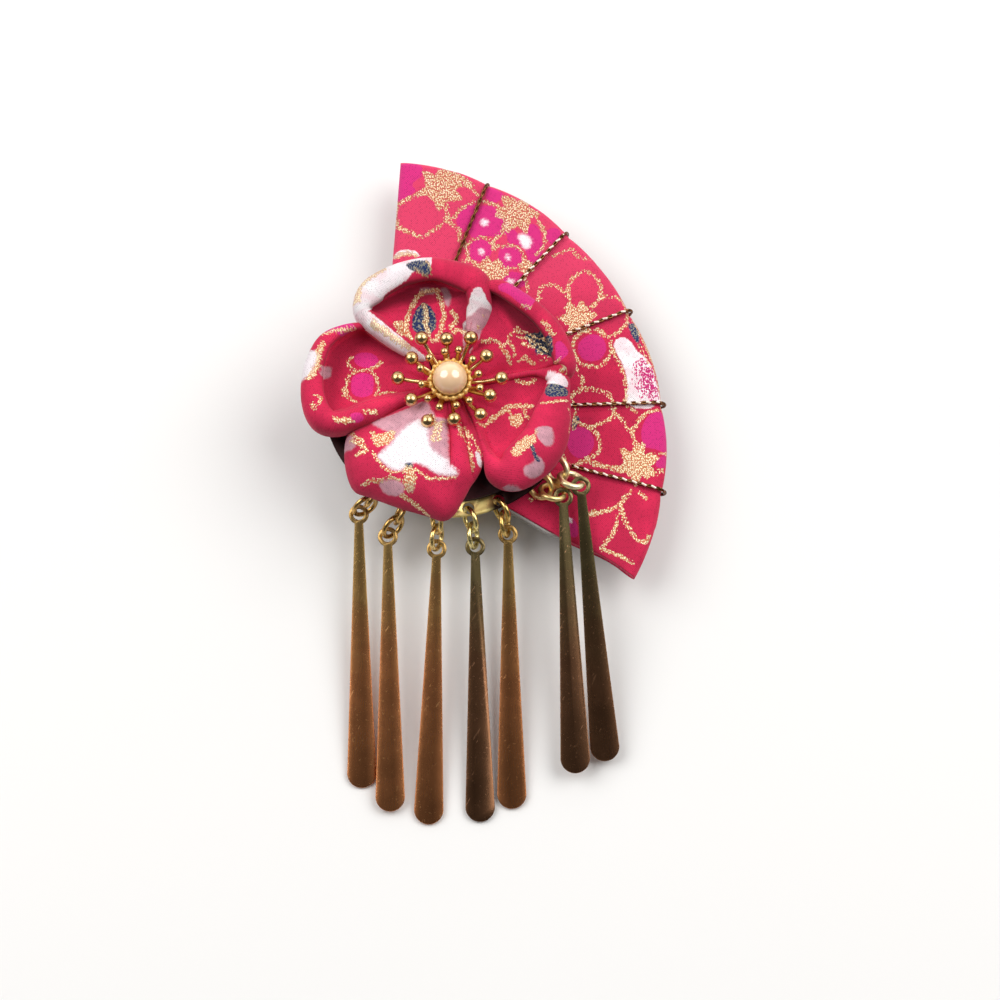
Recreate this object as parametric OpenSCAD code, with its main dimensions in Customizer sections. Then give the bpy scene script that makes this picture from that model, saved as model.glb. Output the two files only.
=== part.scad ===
// Hair barrette: a folded cloth plum flower and a cloth-covered fan on a long clasp,
// with seven flat metal strips that trail from a curved plate on pairs of jump rings.
// It lies on its clasp, flower up. X runs to the right, Y away from the strips, Z up.
// The origin is on the floor, straight below the middle of the flower. Millimetres.

/* [Clasp] */
// Length of the clasp, end to end
clasp_length = 60; // [50:1:66]
// Width of the clasp's two bars
clasp_width = 9; // [7:0.5:10]
// Thickness of each bar
clasp_bar = 1; // [0.8:0.1:1.2]
// Clear height between the bars, where the hair goes
clasp_gap = 4.6; // [4.4:0.1:5]
// Middle of the clasp, to the right of the flower's middle
clasp_x = 4; // [0:0.5:8]
// Middle of the clasp, behind the flower's middle
clasp_y = 3.5; // [3:0.1:4]

/* [Fan] */
// Thickness of the covered card
fan_thick = 2.5; // [2:0.1:3]
// How far a panel swells between two cords
fan_crown = 0.45; // [0:0.05:0.6]
// Radius of the fan's outer edge
fan_arc_r = 58.6; // [56:0.1:60]
// Direction of the fan's left edge, in degrees
fan_left_dir = 85; // [80:1:90]
// Direction of the fan's lower edge, in degrees
fan_lower_dir = -30.9; // [-35:0.1:-28]

/* [Cords] */
// Thickness of a cord on the fan
cord_d = 1; // [0.8:0.1:1.1]
// Length of each cord's glued end on the back of the fan
cord_tail = 6; // [4:0.5:7]

/* [Flower] */
// Thickness of the folded cloth
cloth = 1.1; // [1:0.05:1.15]
// Gap between neighbouring petals
petal_gap = 0.3; // [0.2:0.05:0.5]
// Radius of the stiff disc behind the flower
disc_r = 21.8; // [20:0.1:21.9]
// Thickness of that disc
disc_thick = 1.2; // [1:0.1:1.4]

/* [Stamens and pearl] */
// Diameter of the pearl
pearl_d = 6.5; // [6:0.1:7]
// Number of long stamens
stamen_count = 12; // [10:1:14]
// Diameter of the ball on a long stamen
stamen_ball = 2.3; // [1.8:0.1:2.5]
// Thickness of a stamen's wire
stamen_wire = 0.8; // [0.6:0.1:1]

/* [Plate and rings] */
// Outer radius of the curved plate
plate_r = 24.6; // [24.4:0.1:24.8]
// Inner radius of the curved plate
plate_in_r = 19.5; // [18:0.5:20.5]
// Thickness of the curved plate
plate_thick = 0.5; // [0.4:0.1:0.6]
// Diameter of the plate's holes
plate_hole = 2.2; // [2.1:0.1:2.3]
// Diameter of a jump ring, to the middle of its wire
ring_mean = 4.6; // [4.55:0.05:4.65]
// Thickness of a jump ring's wire
ring_wire = 0.6; // [0.5:0.05:0.65]

/* [Strips] */
// Distance from the middle of a strip's eye to the middle of its round end
strip_run = 49; // [46:0.5:52]
// Diameter of a strip's eye
strip_eye = 3.8; // [3.6:0.1:4]
// Hole in a strip's eye
strip_hole = 2.1; // [2:0.1:2.2]
// Width of a strip's neck
strip_neck = 1.6; // [1.4:0.1:2]
// Width of a strip at its round end
strip_end = 5.5; // [5:0.1:6]
// Thickness of a strip
strip_thick = 0.5; // [0.4:0.05:0.6]

/* [Hidden] */

// Gap between pieces that lie on each other
seat = 0.3;
// Gap between a cord and the cloth it presses on
cord_seat = 0.25;
// Room between the fan and the plate, for the rings that pass under the plate's edge
plate_room = 1.8;
// How far a ring's wire shifts in the plate's hole, up where its chain falls and down where it climbs
hole_lift = 0.15;

// The clasp's barrel and catch, from its two ends
barrel_inset = 4;
catch_inset = 6;
catch_thick = 2.4;

// Heights of the stack, from the floor up
clasp_top = 2 * clasp_bar + clasp_gap;
fan_z = clasp_top + seat - 0.1;
fan_top = fan_z + fan_thick;
plate_z = fan_top + plate_room;
disc_z = plate_z + plate_thick + seat;
pad_z = fan_top + fan_crown + seat / 2;
pad_r = 16.5;
petal_z = disc_z + disc_thick + seat;
pearl_z = petal_z + 7.05;

// The fan: its straight edges meet at fan_apex, and its outer edge is an arc about fan_centre
fan_apex = [-14.5, -6.95];
fan_centre = [-17.4, -9.2];
fan_inner = 3;
fan_edge_drop = 0.8;
fan_edge_width = 1.6;
fan_bulge = 0.45;
// Length over which a cord bends round the fan's rim
cord_turn = 1.6;

// The five cords, in degrees about the fan's apex; the second direction is taken cord_near from it
cord_near = 30;
CORD_RIM = 0;
CORD_INNER = 1;
CORD_START = 2;
cords = [
    // direction at the rim, direction near the flower, distance from the apex where the cord begins
    [67.3, 65.5, 27],
    [46.8, 45.5, 33],
    [26.0, 29.0, 34],
    [5.4, 8.5, 35],
    [-12.6, -10.5, 40.6]
];

// The five petals: the creases beside each, its farthest point and its radii, in degrees and mm
START = 0;
END = 1;
TIP = 2;
TIP_R = 3;
START_R = 4;
END_R = 5;
RISE = 6;
SQUARE = 7;
petals = [
    // first crease, last crease, farthest at, radius there and at both creases, height, squareness
    [70, 147, 108, 25.0, 23.2, 21.4, 8.6, 3.2],
    [2, 70, 38, 24.8, 21.4, 23.2, 8.2, 2.6],
    [-67, 2, -36, 25.8, 21.0, 21.4, 8.0, 2.8],
    [-152, -67, -114, 28.2, 22.5, 21.0, 7.6, 3.6],
    [147, 208, 177, 28.4, 21.6, 22.5, 8.4, 2.2]
];
// One radial section of a petal's cup, from the flower's middle to the rolled rim
REACH = 0;
FLOOR = 1;
RIDGE = 2;
section = [
    // part of the radius, height in mid petal, height beside a crease
    [0.22, 0.13, 0.13],
    [0.36, 0.08, 0.15],
    [0.52, 0.03, 0.32],
    [0.68, 0.00, 0.48],
    [0.86, 0.08, 0.62],
    [0.96, 0.28, 0.70],
    [1.00, 0.55, 0.75],
    [0.985, 0.80, 0.82],
    [0.94, 0.97, 0.95],
    [0.88, 1.00, 0.98],
    [0.84, 0.90, 0.93]
];
petal_steps = 12;
// How sharply a petal's floor turns up beside its creases, and how round its outline is
petal_fold = 2.2;
petal_round = 0.55;

// Stamens: long ones stand at two lengths in turn, short ones on the same lines
stamen_long = [9.4, 8.15];
stamen_short = 5.7;
stamen_short_ball = 1.3;
stamen_bend = 0.6;
stamen_sag = 0.5;
crown_z = petal_z + 3.4;
crown_r = 3.7;
stem_r = 2;
crown_rim = pearl_z - 0.6;
crown_teeth = 18;
tooth_d = 0.8;

// Ends of the curved plate, in degrees from straight towards the strips
hole_ring_r = 23.1;
plate_from = -76;
plate_to = 58;

// The strips, each on two jump rings: the roll turns both rings about their chain, from flat
HOLE = 0;
EYE = 1;
FOOT = 2;
ROLL = 3;
strips = [
    // direction of its hole in the plate, middle of the eye, middle of the round end, roll of the rings
    [-36.0, [-17.5, -22.8, 7.0], [-16.5, -71.2, 0.7], 68],
    [-21.2, [-11.9, -27.3, 7.4], [-11.1, -75.3, 1.5], 68],
    [-6.3, [-2.6, -29.7, 7.4], [-3.9, -78.5, 0.7], 68],
    [8.5, [4.7, -29.2, 7.2], [5.7, -78.3, 0.7], 68],
    [23.3, [10.9, -26.7, 6.9], [11.6, -75.7, 0.7], 68],
    [41.0, [21.3, -21.0, 12.6], [23.4, -68.5, 3.6], 41],
    [53.0, [24.6, -19.1, 13.5], [28.9, -65.7, 2.8], 42]
];

function lerp(a, b, t) = a + (b - a) * t;
function unit(v) = v / norm(v);
function polar(dir, r) = [r * cos(dir), r * sin(dir)];
function clamp01(t) = min(1, max(0, t));

// Closed skin between two grids of points, the inner or lower one and the outer or upper one
function grid_index(rows, cols, layer, i, j) = layer * rows * cols + i * cols + j;
function grid_faces(rows, cols) = concat(
    [for (i = [0:rows - 2], j = [0:cols - 2]) [
        grid_index(rows, cols, 0, i, j), grid_index(rows, cols, 0, i, j + 1),
        grid_index(rows, cols, 0, i + 1, j + 1)]],
    [for (i = [0:rows - 2], j = [0:cols - 2]) [
        grid_index(rows, cols, 0, i, j), grid_index(rows, cols, 0, i + 1, j + 1),
        grid_index(rows, cols, 0, i + 1, j)]],
    [for (i = [0:rows - 2], j = [0:cols - 2]) [
        grid_index(rows, cols, 1, i, j), grid_index(rows, cols, 1, i + 1, j + 1),
        grid_index(rows, cols, 1, i, j + 1)]],
    [for (i = [0:rows - 2], j = [0:cols - 2]) [
        grid_index(rows, cols, 1, i, j), grid_index(rows, cols, 1, i + 1, j),
        grid_index(rows, cols, 1, i + 1, j + 1)]],
    [for (j = [0:cols - 2], e = [0, 1]) let (i = e == 0 ? 0 : rows - 1)
        e == 0
        ? [grid_index(rows, cols, 0, i, j), grid_index(rows, cols, 1, i, j),
           grid_index(rows, cols, 1, i, j + 1), grid_index(rows, cols, 0, i, j + 1)]
        : [grid_index(rows, cols, 0, i, j), grid_index(rows, cols, 0, i, j + 1),
           grid_index(rows, cols, 1, i, j + 1), grid_index(rows, cols, 1, i, j)]],
    [for (i = [0:rows - 2], e = [0, 1]) let (j = e == 0 ? 0 : cols - 1)
        e == 0
        ? [grid_index(rows, cols, 0, i, j), grid_index(rows, cols, 0, i + 1, j),
           grid_index(rows, cols, 1, i + 1, j), grid_index(rows, cols, 1, i, j)]
        : [grid_index(rows, cols, 0, i, j), grid_index(rows, cols, 1, i, j),
           grid_index(rows, cols, 1, i + 1, j), grid_index(rows, cols, 0, i + 1, j)]]
);

module skin(outer, inner) {
    rows = len(outer);
    cols = len(outer[0]);
    points = concat(
        [for (row = inner) for (p = row) p],
        [for (row = outer) for (p = row) p]
    );
    polyhedron(points, grid_faces(rows, cols), convexity = 6);
}

// Tube of a given radius through a list of points, with eight sides
module tube(path, r, sides = 8) {
    last = len(path) - 1;
    tangent = [for (k = [0:last]) unit(path[min(k + 1, last)] - path[max(k - 1, 0)])];
    side_dir = unit(cross(tangent[0], [0.001, 0.002, 1]));
    rings = [for (k = [0:last])
        let (across = unit(side_dir - (side_dir * tangent[k]) * tangent[k]),
             upward = cross(tangent[k], across))
        for (s = [0:sides - 1])
            path[k] + r * (cos(360 * s / sides) * across + sin(360 * s / sides) * upward)];
    walls = [for (k = [0:last - 1], s = [0:sides - 1])
        [k * sides + s, (k + 1) * sides + s,
         (k + 1) * sides + (s + 1) % sides, k * sides + (s + 1) % sides]];
    polyhedron(rings, concat(
        walls,
        [[for (s = [0:sides - 1]) s]],
        [[for (s = [sides - 1:-1:0]) last * sides + s]]
    ), convexity = 6);
}

// Clasp: two bars joined by a barrel at one end and a catch at the other
module bar(width) {
    translate([-clasp_length / 2 + width / 2, 0, 0]) cylinder(d = width, h = clasp_bar, $fn = 48);
    translate([clasp_length / 2 - width / 2, 0, 0]) cylinder(d = width, h = clasp_bar, $fn = 48);
    translate([-clasp_length / 2 + width / 2, -width / 2, 0])
        cube([clasp_length - width, width, clasp_bar]);
}

module hair_clasp() {
    barrel_x = -clasp_length / 2 + barrel_inset;
    catch_x = clasp_length / 2 - catch_inset;
    joint_width = clasp_width - 2;
    color("silver") translate([clasp_x, clasp_y, 0]) {
        bar(clasp_width);
        translate([0, 0, clasp_top - clasp_bar]) bar(clasp_width);
        translate([barrel_x, 0, clasp_top / 2]) rotate([90, 0, 0])
            cylinder(d = clasp_top - clasp_bar / 2, h = joint_width, center = true, $fn = 48);
        translate([catch_x, -joint_width / 2, clasp_bar / 2])
            cube([catch_thick, joint_width, clasp_top - clasp_bar]);
    }
}

// Distance from the fan's apex to its outer edge
function fan_rim(dir) =
    let (gap = fan_apex - fan_centre, way = polar(dir, 1), along = gap * way)
    -along + sqrt(along * along - gap * gap + fan_arc_r * fan_arc_r);

// The panels' borders: both straight edges and the cords between them
fan_borders = concat([fan_lower_dir], [for (k = [len(cords) - 1:-1:0]) cords[k][CORD_RIM]], [fan_left_dir]);
fan_panel_steps = [0, 0.12, 0.35, 0.65, 0.88];

// Columns across the fan: direction and swell
fan_columns = concat(
    [for (k = [0:len(fan_borders) - 2], f = fan_panel_steps)
        [lerp(fan_borders[k], fan_borders[k + 1], f), sin(180 * f)]],
    [[fan_left_dir, 0]]
);
fan_rows = [0, 0.25, 0.5, 0.75, 0.92, 0.975, 1];

function fan_reach(column, f) =
    lerp(fan_inner, fan_rim(column[0]) + fan_bulge * (column[1] - 0.7), f);
function fan_side_gap(dir, r) =
    min(r * sin(min(90, dir - fan_lower_dir)), r * sin(min(90, fan_left_dir - dir)));
function fan_drop(dir, r, rim) =
    fan_edge_drop * pow(1 - clamp01(min(rim - r, fan_side_gap(dir, r)) / fan_edge_width), 2);

module fan_body() {
    function point(column, f, top) =
        let (r = fan_reach(column, f), rim = fan_reach(column, 1),
             drop = fan_drop(column[0], r, rim),
             swell = fan_crown * column[1] * clamp01(4 * f) * clamp01((rim - r) / 6),
             flat = fan_apex + polar(column[0], r))
        [flat[0], flat[1], top ? fan_top - drop + swell : fan_z + drop];
    color("crimson") skin(
        [for (column = fan_columns) [for (f = fan_rows) point(column, f, true)]],
        [for (column = fan_columns) [for (f = fan_rows) point(column, f, false)]]
    );
}

// A cord: straight over the fan's face, round its rim and glued down on the back
module fan_cord(k) {
    cord = cords[k];
    rim_dir = cord[CORD_RIM];
    rim = fan_apex + polar(rim_dir, fan_rim(rim_dir) - 0.7 * fan_bulge);
    near = fan_apex + polar(cord[CORD_INNER], cord_near);
    way = unit(rim - near);
    start = rim - way * (fan_rim(rim_dir) - cord[CORD_START]);
    lift = cord_d / 2 + cord_seat;
    high = fan_top + lift;
    low = fan_z - lift;
    middle = (high + low) / 2;
    path = concat(
        [for (f = [0, 0.33, 0.66]) let (p = lerp(start, rim - way * cord_turn, f)) [p[0], p[1], high]],
        [for (a = [90:-30:-90])
            let (p = rim + way * ((cord_turn + lift) * cos(a) - cord_turn))
            [p[0], p[1], middle + (high - middle) * sin(a)]],
        [let (p = rim - way * cord_tail) [p[0], p[1], low]]
    );
    color("goldenrod") tube(path, cord_d / 2);
}

// Curved plate behind the flower, with a row of holes
function from_front(dir, r) = [r * sin(dir), -r * cos(dir)];

module drop_plate() {
    far = plate_r * 2;
    middle = (plate_from + plate_to) / 2;
    color("gold") translate([0, 0, plate_z]) linear_extrude(plate_thick) difference() {
        intersection() {
            circle(plate_r, $fn = 96);
            polygon([[0, 0], from_front(plate_from, far), from_front(middle, far),
                     from_front(plate_to, far)]);
        }
        circle(plate_in_r, $fn = 96);
        for (k = [0:len(strips) - 1]) translate(from_front(strips[k][HOLE], hole_ring_r))
            circle(d = plate_hole, $fn = 32);
    }
}

// Stiff disc behind the petals, on a pad that fills the plate's middle and rests on the fan
module backing_disc() {
    color("dimgray") {
        translate([0, 0, disc_z]) cylinder(r = disc_r, h = disc_thick, $fn = 96);
        translate([0, 0, pad_z]) cylinder(r = pad_r, h = disc_z + disc_thick / 2 - pad_z, $fn = 96);
    }
}

// A petal: one radial section after another, from crease to crease
function petal_dir(petal, u) =
    u < 0 ? lerp(petal[TIP], petal[START], -u) : lerp(petal[TIP], petal[END], u);
function petal_radius(petal, u) =
    let (side = u < 0 ? petal[START_R] : petal[END_R])
    side + (petal[TIP_R] - side) * pow(1 - pow(abs(u), petal[SQUARE]), petal_round);
function petal_point(petal, u, row) =
    let (dir = petal_dir(petal, u),
         inset = (cloth + petal_gap) / 2 * u * abs(u),
         place = polar(dir, petal_radius(petal, u) * row[REACH]) + polar(dir - 90, inset),
         rise = lerp(row[FLOOR], max(row[FLOOR], row[RIDGE]), pow(abs(u), petal_fold)))
    [place[0], place[1], petal_z + cloth / 2 + petal[RISE] * rise];
function grid_normal(grid, i, j) =
    let (rows = len(grid) - 1, cols = len(grid[0]) - 1)
    unit(cross(grid[i][min(j + 1, cols)] - grid[i][max(j - 1, 0)],
               grid[min(i + 1, rows)][j] - grid[max(i - 1, 0)][j]));

module petal(k) {
    middle = [for (i = [0:petal_steps]) let (u = 2 * i / petal_steps - 1)
        [for (row = section) petal_point(petals[k], u, row)]];
    rows = [0:petal_steps];
    cols = [0:len(section) - 1];
    color("crimson") skin(
        [for (i = rows) [for (j = cols) middle[i][j] + cloth / 2 * grid_normal(middle, i, j)]],
        [for (i = rows) [for (j = cols) middle[i][j] - cloth / 2 * grid_normal(middle, i, j)]]
    );
}

// Stamens: sagging wires with ball tips, soldered round a toothed cup on a stem; the cup holds the pearl
module stamen(dir, reach, ball) {
    root = [crown_r - stamen_wire, 0, crown_z + stamen_wire];
    tip = [reach, 0, pearl_z];
    bend = lerp(root, tip, stamen_bend) - [0, 0, stamen_sag];
    rotate([0, 0, dir]) {
        tube([root, bend, tip], stamen_wire / 2, 6);
        translate(tip) sphere(d = ball, $fn = 10);
    }
}

module stamen_crown() {
    cup_r = pearl_d / 2 + cord_seat;
    color("gold") difference() {
        union() {
            translate([0, 0, crown_z]) cylinder(r = crown_r, h = crown_rim - crown_z, $fn = 36);
            translate([0, 0, petal_z]) cylinder(r = stem_r, h = crown_z - petal_z + 0.5, $fn = 36);
            for (k = [0:crown_teeth - 1]) rotate([0, 0, 360 * k / crown_teeth])
                translate([crown_r, 0, crown_rim - tooth_d])
                    cylinder(d = tooth_d, h = 1.4 * tooth_d, $fn = 16);
            for (k = [0:stamen_count - 1]) {
                stamen(360 * k / stamen_count, stamen_long[k % 2], stamen_ball);
                stamen(360 * (k + 0.5) / stamen_count, stamen_short, stamen_short_ball);
            }
        }
        translate([0, 0, pearl_z]) sphere(r = cup_r, $fn = 36);
    }
}

module pearl() {
    color("ivory") translate([0, 0, pearl_z]) sphere(d = pearl_d, $fn = 48);
}

// Each chain: a ring through the plate's hole, and a ring through it and the strip's eye
function chain_hole(k) =
    let (p = from_front(strips[k][HOLE], hole_ring_r), fall = sign(plate_z - strips[k][EYE][2]))
    [p[0], p[1], plate_z + plate_thick / 2 + hole_lift * fall];
function chain_way(k) = strips[k][EYE] - chain_hole(k);

// Turns the X axis to run along a vector, with a roll about it
module along(from, way, roll) {
    translate(from) rotate([0, 0, atan2(way[1], way[0])])
        rotate([0, -atan2(way[2], norm([way[0], way[1]])), 0]) rotate([roll, 0, 0]) children();
}

module ring(from, way, roll) {
    color("gold") along(from, way, roll) translate([ring_mean / 2, 0, 0])
        rotate_extrude($fn = 48) translate([ring_mean / 2, 0]) circle(d = ring_wire, $fn = 16);
}

module ring_upper(k) {
    ring(chain_hole(k), chain_way(k), strips[k][ROLL]);
}

module ring_lower(k) {
    ring(strips[k][EYE], -chain_way(k), strips[k][ROLL]);
}

// A strip: an eye, a neck that widens, and a round end
module strip(k) {
    eye = strips[k][EYE];
    color("gold") along(eye, strips[k][FOOT] - eye, 0)
        translate([0, 0, -strip_thick / 2]) linear_extrude(strip_thick) difference() {
            union() {
                circle(d = strip_eye, $fn = 48);
                translate([strip_run, 0]) circle(d = strip_end, $fn = 48);
                polygon([[strip_hole / 2, -strip_neck / 2], [strip_run, -strip_end / 2],
                         [strip_run, strip_end / 2], [strip_hole / 2, strip_neck / 2]]);
            }
            circle(d = strip_hole, $fn = 32);
        }
}

hair_clasp();
fan_body();
for (k = [0:len(cords) - 1]) fan_cord(k);
drop_plate();
backing_disc();
petal(0);  // petal_top
petal(1);  // petal_right
petal(2);  // petal_lower_right
petal(3);  // petal_bottom
petal(4);  // petal_left
stamen_crown();
pearl();
for (k = [0:len(strips) - 1]) ring_upper(k);
for (k = [0:len(strips) - 1]) ring_lower(k);
for (k = [0:len(strips) - 1]) strip(k);
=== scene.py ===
import math
from typing import NamedTuple

import bmesh
import bpy
import numpy as np
from bpy.props import FloatProperty, FloatVectorProperty, IntProperty, PointerProperty
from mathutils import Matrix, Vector


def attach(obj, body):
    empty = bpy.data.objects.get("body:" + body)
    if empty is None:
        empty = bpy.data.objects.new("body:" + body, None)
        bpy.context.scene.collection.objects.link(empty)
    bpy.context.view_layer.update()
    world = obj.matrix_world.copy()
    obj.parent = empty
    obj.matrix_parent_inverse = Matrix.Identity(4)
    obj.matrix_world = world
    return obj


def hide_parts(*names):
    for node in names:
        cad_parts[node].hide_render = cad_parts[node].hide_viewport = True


bl_info = {
    "name": "Plum Flower Hair Barrette",
    "version": (1, 0, 0),
    "blender": (4, 5, 0),
    "location": "View3D > Sidebar > Barrette",
    "description": "A folded cloth flower on a cloth-covered fan, with seven gilt strips",
    "category": "Add Mesh",
}

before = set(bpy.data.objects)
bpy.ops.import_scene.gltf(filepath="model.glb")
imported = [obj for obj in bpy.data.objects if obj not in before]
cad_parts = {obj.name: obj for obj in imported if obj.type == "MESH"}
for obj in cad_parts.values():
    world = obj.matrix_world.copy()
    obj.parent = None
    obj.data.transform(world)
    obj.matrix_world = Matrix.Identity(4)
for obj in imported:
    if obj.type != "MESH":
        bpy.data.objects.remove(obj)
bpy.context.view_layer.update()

MM = 0.001
ROOT = "root"

# Heights and places of the part, in millimetres
FAN_Z, FAN_TOP = 6.8, 9.3
FAN_APEX = np.array([-14.5, -6.95])
FAN_CENTRE = np.array([-17.4, -9.2])
FAN_ARC_R = 58.6
FAN_BORDERS = (-30.9, -12.6, 5.4, 26.0, 46.8, 67.3, 85.0)
FAN_INNER = 3.0
PETAL_Z = 13.4
CROWN_Z, CROWN_R, CROWN_RIM = 16.8, 3.7, 19.85
PEARL_Z, PEARL_R = 20.45, 3.25
# Height of a petal's cloth over the foot of the petals, where it lies flat
CLOTH_REST = 0.62
# The cords: height of their middle over the cloth, bend round the rim, glued end, and how far
# inside the fan's edge they bend
CORD_LIFT, CORD_TURN, CORD_TAIL, CORD_INSET = 0.72, 1.6, 6.0, 0.315
# The stamens: thickness of their wire, and size of their balls against the table's
STAMEN_WIRE, BALL_SHARE = 0.84, 1.16
# Radius of a claw round the pearl
CLAW_R = 0.5
# Height of the closed petal's crest over the foot of the petals
POUCH_CREST = 7.3
# How much of a full turn a jump ring's wire makes, in degrees
RING_SWEEP = 357
# Painted brightness of each strip against the first, for how it catches the light; those darker
# than DARK_STRIP are greener
STRIP_LIGHT = (1.0, 1.0, 0.97, 0.42, 0.82, 0.62, 0.60)
DARK_STRIP, GREEN_CAST = 0.7, (0.82, 1.0, 1.3)
# The camera's place and what it looks at, and the lamps' distance and size in metres
CAMERA_AT, CAMERA_AIM = (9.4, -144.54, 441.57), (9.4, -20.5, 9.0)
LAMP_AWAY, LAMP_SIZE = 0.8, 0.73
# Direction of the right lamp; the left one is its mirror image
LAMP_WAY = (0.612, 0.224, 0.758)


class CordPlace(NamedTuple):
    """Directions in degrees about the fan's apex, and where the cord begins."""
    rim: float
    near: float
    start: float


CORDS = (
    CordPlace(67.3, 65.5, 27.0),
    CordPlace(47.9, 47.5, 33.0),
    CordPlace(26.7, 30.3, 34.0),
    CordPlace(5.9, 9.3, 35.0),
    CordPlace(-12.1, -9.6, 38.5),
)


class PetalCut(NamedTuple):
    """A petal: its node, the seed of its small creases, how far its floor rises towards its far
    rim, how strong the painted shade is in the fold under that rim, and the middle of its floor;
    then round its rim, x, y, half the width of the roll, and its height. A petal with no lift is
    closed like a pouch."""
    node: str
    seed: int
    lift: float
    painted_fold_shade: float
    middle: tuple
    rim: tuple


PETALS = (
    PetalCut("petal_top", 11, 3.0, 2.2, (-4.9, 15.9), (
        (1.3, 6.3, 0.65, 1.8), (4.8, 8.9, 1.16, 3.2), (4.9, 11.1, 1.86, 4.6),
        (5.4, 13.8, 2.35, 6.2), (5.4, 16.5, 2.18, 7.8), (4.3, 19.5, 2.64, 8.8),
        (-2.1, 21.7, 2.19, 9), (-8, 21.1, 2.26, 9), (-12.3, 19.3, 2.48, 9),
        (-15.2, 17.1, 2.56, 8.8), (-16.7, 14.3, 1.73, 8.4), (-15.8, 12.2, 1.55, 7.6),
        (-13.4, 10.4, 1.58, 6.4), (-10.5, 8.6, 1.5, 5), (-7.4, 6.9, 1.2, 3.4),
        (-4.6, 5.8, 0.65, 2))),
    PetalCut("petal_left", 15, 1.2, 1.3, (-14.9, 3.7), (
        (-4.8, 5.3, 0.42, 1.6), (-8.1, 6.9, 0.33, 2.6), (-12, 9.1, 0.44, 3.8),
        (-15.8, 10.8, 0.52, 5.6), (-19.1, 10.2, 0.77, 7.2), (-23.3, 7.5, 1.4, 8.2),
        (-25.2, 3.4, 1.75, 8.4), (-25.8, -1.1, 2.11, 8.4), (-25.3, -4.9, 2.35, 8.2),
        (-23.7, -7.6, 2.4, 7.8), (-20.8, -8.3, 1.9, 7.2), (-15.8, -6.4, 1.85, 6.4),
        (-12.4, -4.8, 1.59, 5.2), (-9.1, -3.1, 1.19, 4), (-6, -1.4, 0.84, 2.8),
        (-4.1, 0.4, 0.55, 1.8),)),
    PetalCut("petal_right", 12, 4.6, 2.5, (12.4, 9.5), (
        (4.5, 1.3, 0.3, 1.2), (7.7, 1.7, 0.3, 1.3), (11.6, 2.2, 0.3, 1.5),
        (15.5, 2.4, 0.3, 2.2), (19.1, 2.5, 0.8, 4.8), (21.6, 2.7, 2, 7.2),
        (21.2, 5.4, 2.05, 7.8), (19.7, 9, 1.92, 8.1), (16.8, 12.7, 1.76, 8.2),
        (12.7, 16, 1.65, 8.2), (9.1, 18.3, 1.46, 7.8), (6.4, 18.1, 0.86, 7.2),
        (5.5, 15.4, 0.9, 6.3), (4.9, 12.5, 0.88, 5.2), (4.2, 9, 0.59, 3.9),
        (3, 6.5, 0.39, 2.3))),
    PetalCut("petal_lower_right", 13, 2.2, 0.5, (10.8, -4.5), (
        (2.6, -1.6, 0.38, 1.8), (3.5, -4.1, 0.33, 2.6), (4.7, -7.3, 0.37, 3.4),
        (5.8, -10.8, 0.38, 4.2), (7.1, -14.5, 0.8, 5.2), (8.6, -17.3, 2.1, 6),
        (11.53, -17.46, 3.65, 6.4), (14.8, -14.96, 4.2, 6.8), (17.71, -11.45, 4.1, 7),
        (19.31, -6.64, 3.38, 7.1), (20.05, -2.2, 2.45, 6.9), (20, 1, 1.9, 6),
        (15.6, 1.9, 0.33, 4.4), (11.6, 1.5, 0.35, 3.4), (7.7, 1, 0.32, 2.6),
        (4.5, 0.6, 0.32, 1.8))),
    PetalCut("petal_bottom", 14, 0.0, 0.0, (-6.2, -17.9), (
        (-0.8, -1.4, 1.2, 1.8), (-3.5, -1.2, 1.2, 1.8), (-5.8, -2.8, 1.2, 2.4),
        (-8.8, -4.6, 1.2, 3), (-12.3, -6.5, 1.2, 3.4), (-15.7, -8, 1.2, 3.6),
        (-18.8, -9.4, 1.2, 3.4), (-19.8, -12.4, 1.2, 2.8), (-19.5, -16.7, 1.2, 2.4),
        (-18, -20.4, 1.2, 2), (-14.8, -21.8, 1.2, 1.8), (-9.4, -23.8, 1.2, 1.8),
        (-4.5, -25.3, 1.2, 1.8), (-1.2, -26.3, 1.2, 1.8), (0.9, -25.0, 1.2, 1.8),
        (2.5, -22.3, 1.2, 2.2), (4.0, -19.7, 1.2, 3.2), (5.7, -17.2, 1.2, 4),
        (6.3, -14.4, 1.2, 4.4),
        (5.6, -11.5, 1.2, 4.2), (4.5, -8.2, 1.2, 3.6), (3.2, -5.2, 1.2, 3), (1.9, -2.3, 1.2, 2),)),
)


class Valley(NamedTuple):
    """A sharp fold in a petal, from one point to another, in millimetres."""
    node: str
    x1: float
    y1: float
    x2: float
    y2: float
    depth: float
    width: float


VALLEYS = (
    Valley("petal_bottom", -0.4, -5.0, 0.2, -19.0, 2.2, 0.6),
    Valley("petal_bottom", 1.8, -6.4, 4.1, -18.0, 1.8, 0.5),
    Valley("petal_bottom", -5.4, -5.4, -13.6, -13.9, 0.5, 0.9),
)


INKS = ("gold", "pink", "pale", "mauve", "navy", "white", "dots")
# Distance in millimetres that stands for far from any motif
FAR = 9.0


class Motif(NamedTuple):
    """One shape of the print: its ink, its kind, the width of its line, and its points. Sizes
    are in millimetres."""
    ink: str
    shape: str
    width: float
    points: list


def motifs(table):
    """The motifs in a table. Each row starts with an ink, and may run on to the next line."""
    found = []
    for word in table.split():
        if word in INKS:
            found.append([])
        found[-1].append(word)
    return [Motif(ink, shape, float(width), [[float(v) for v in spot.split(",")] for spot in spots])
            for ink, shape, width, *spots in found]


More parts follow.
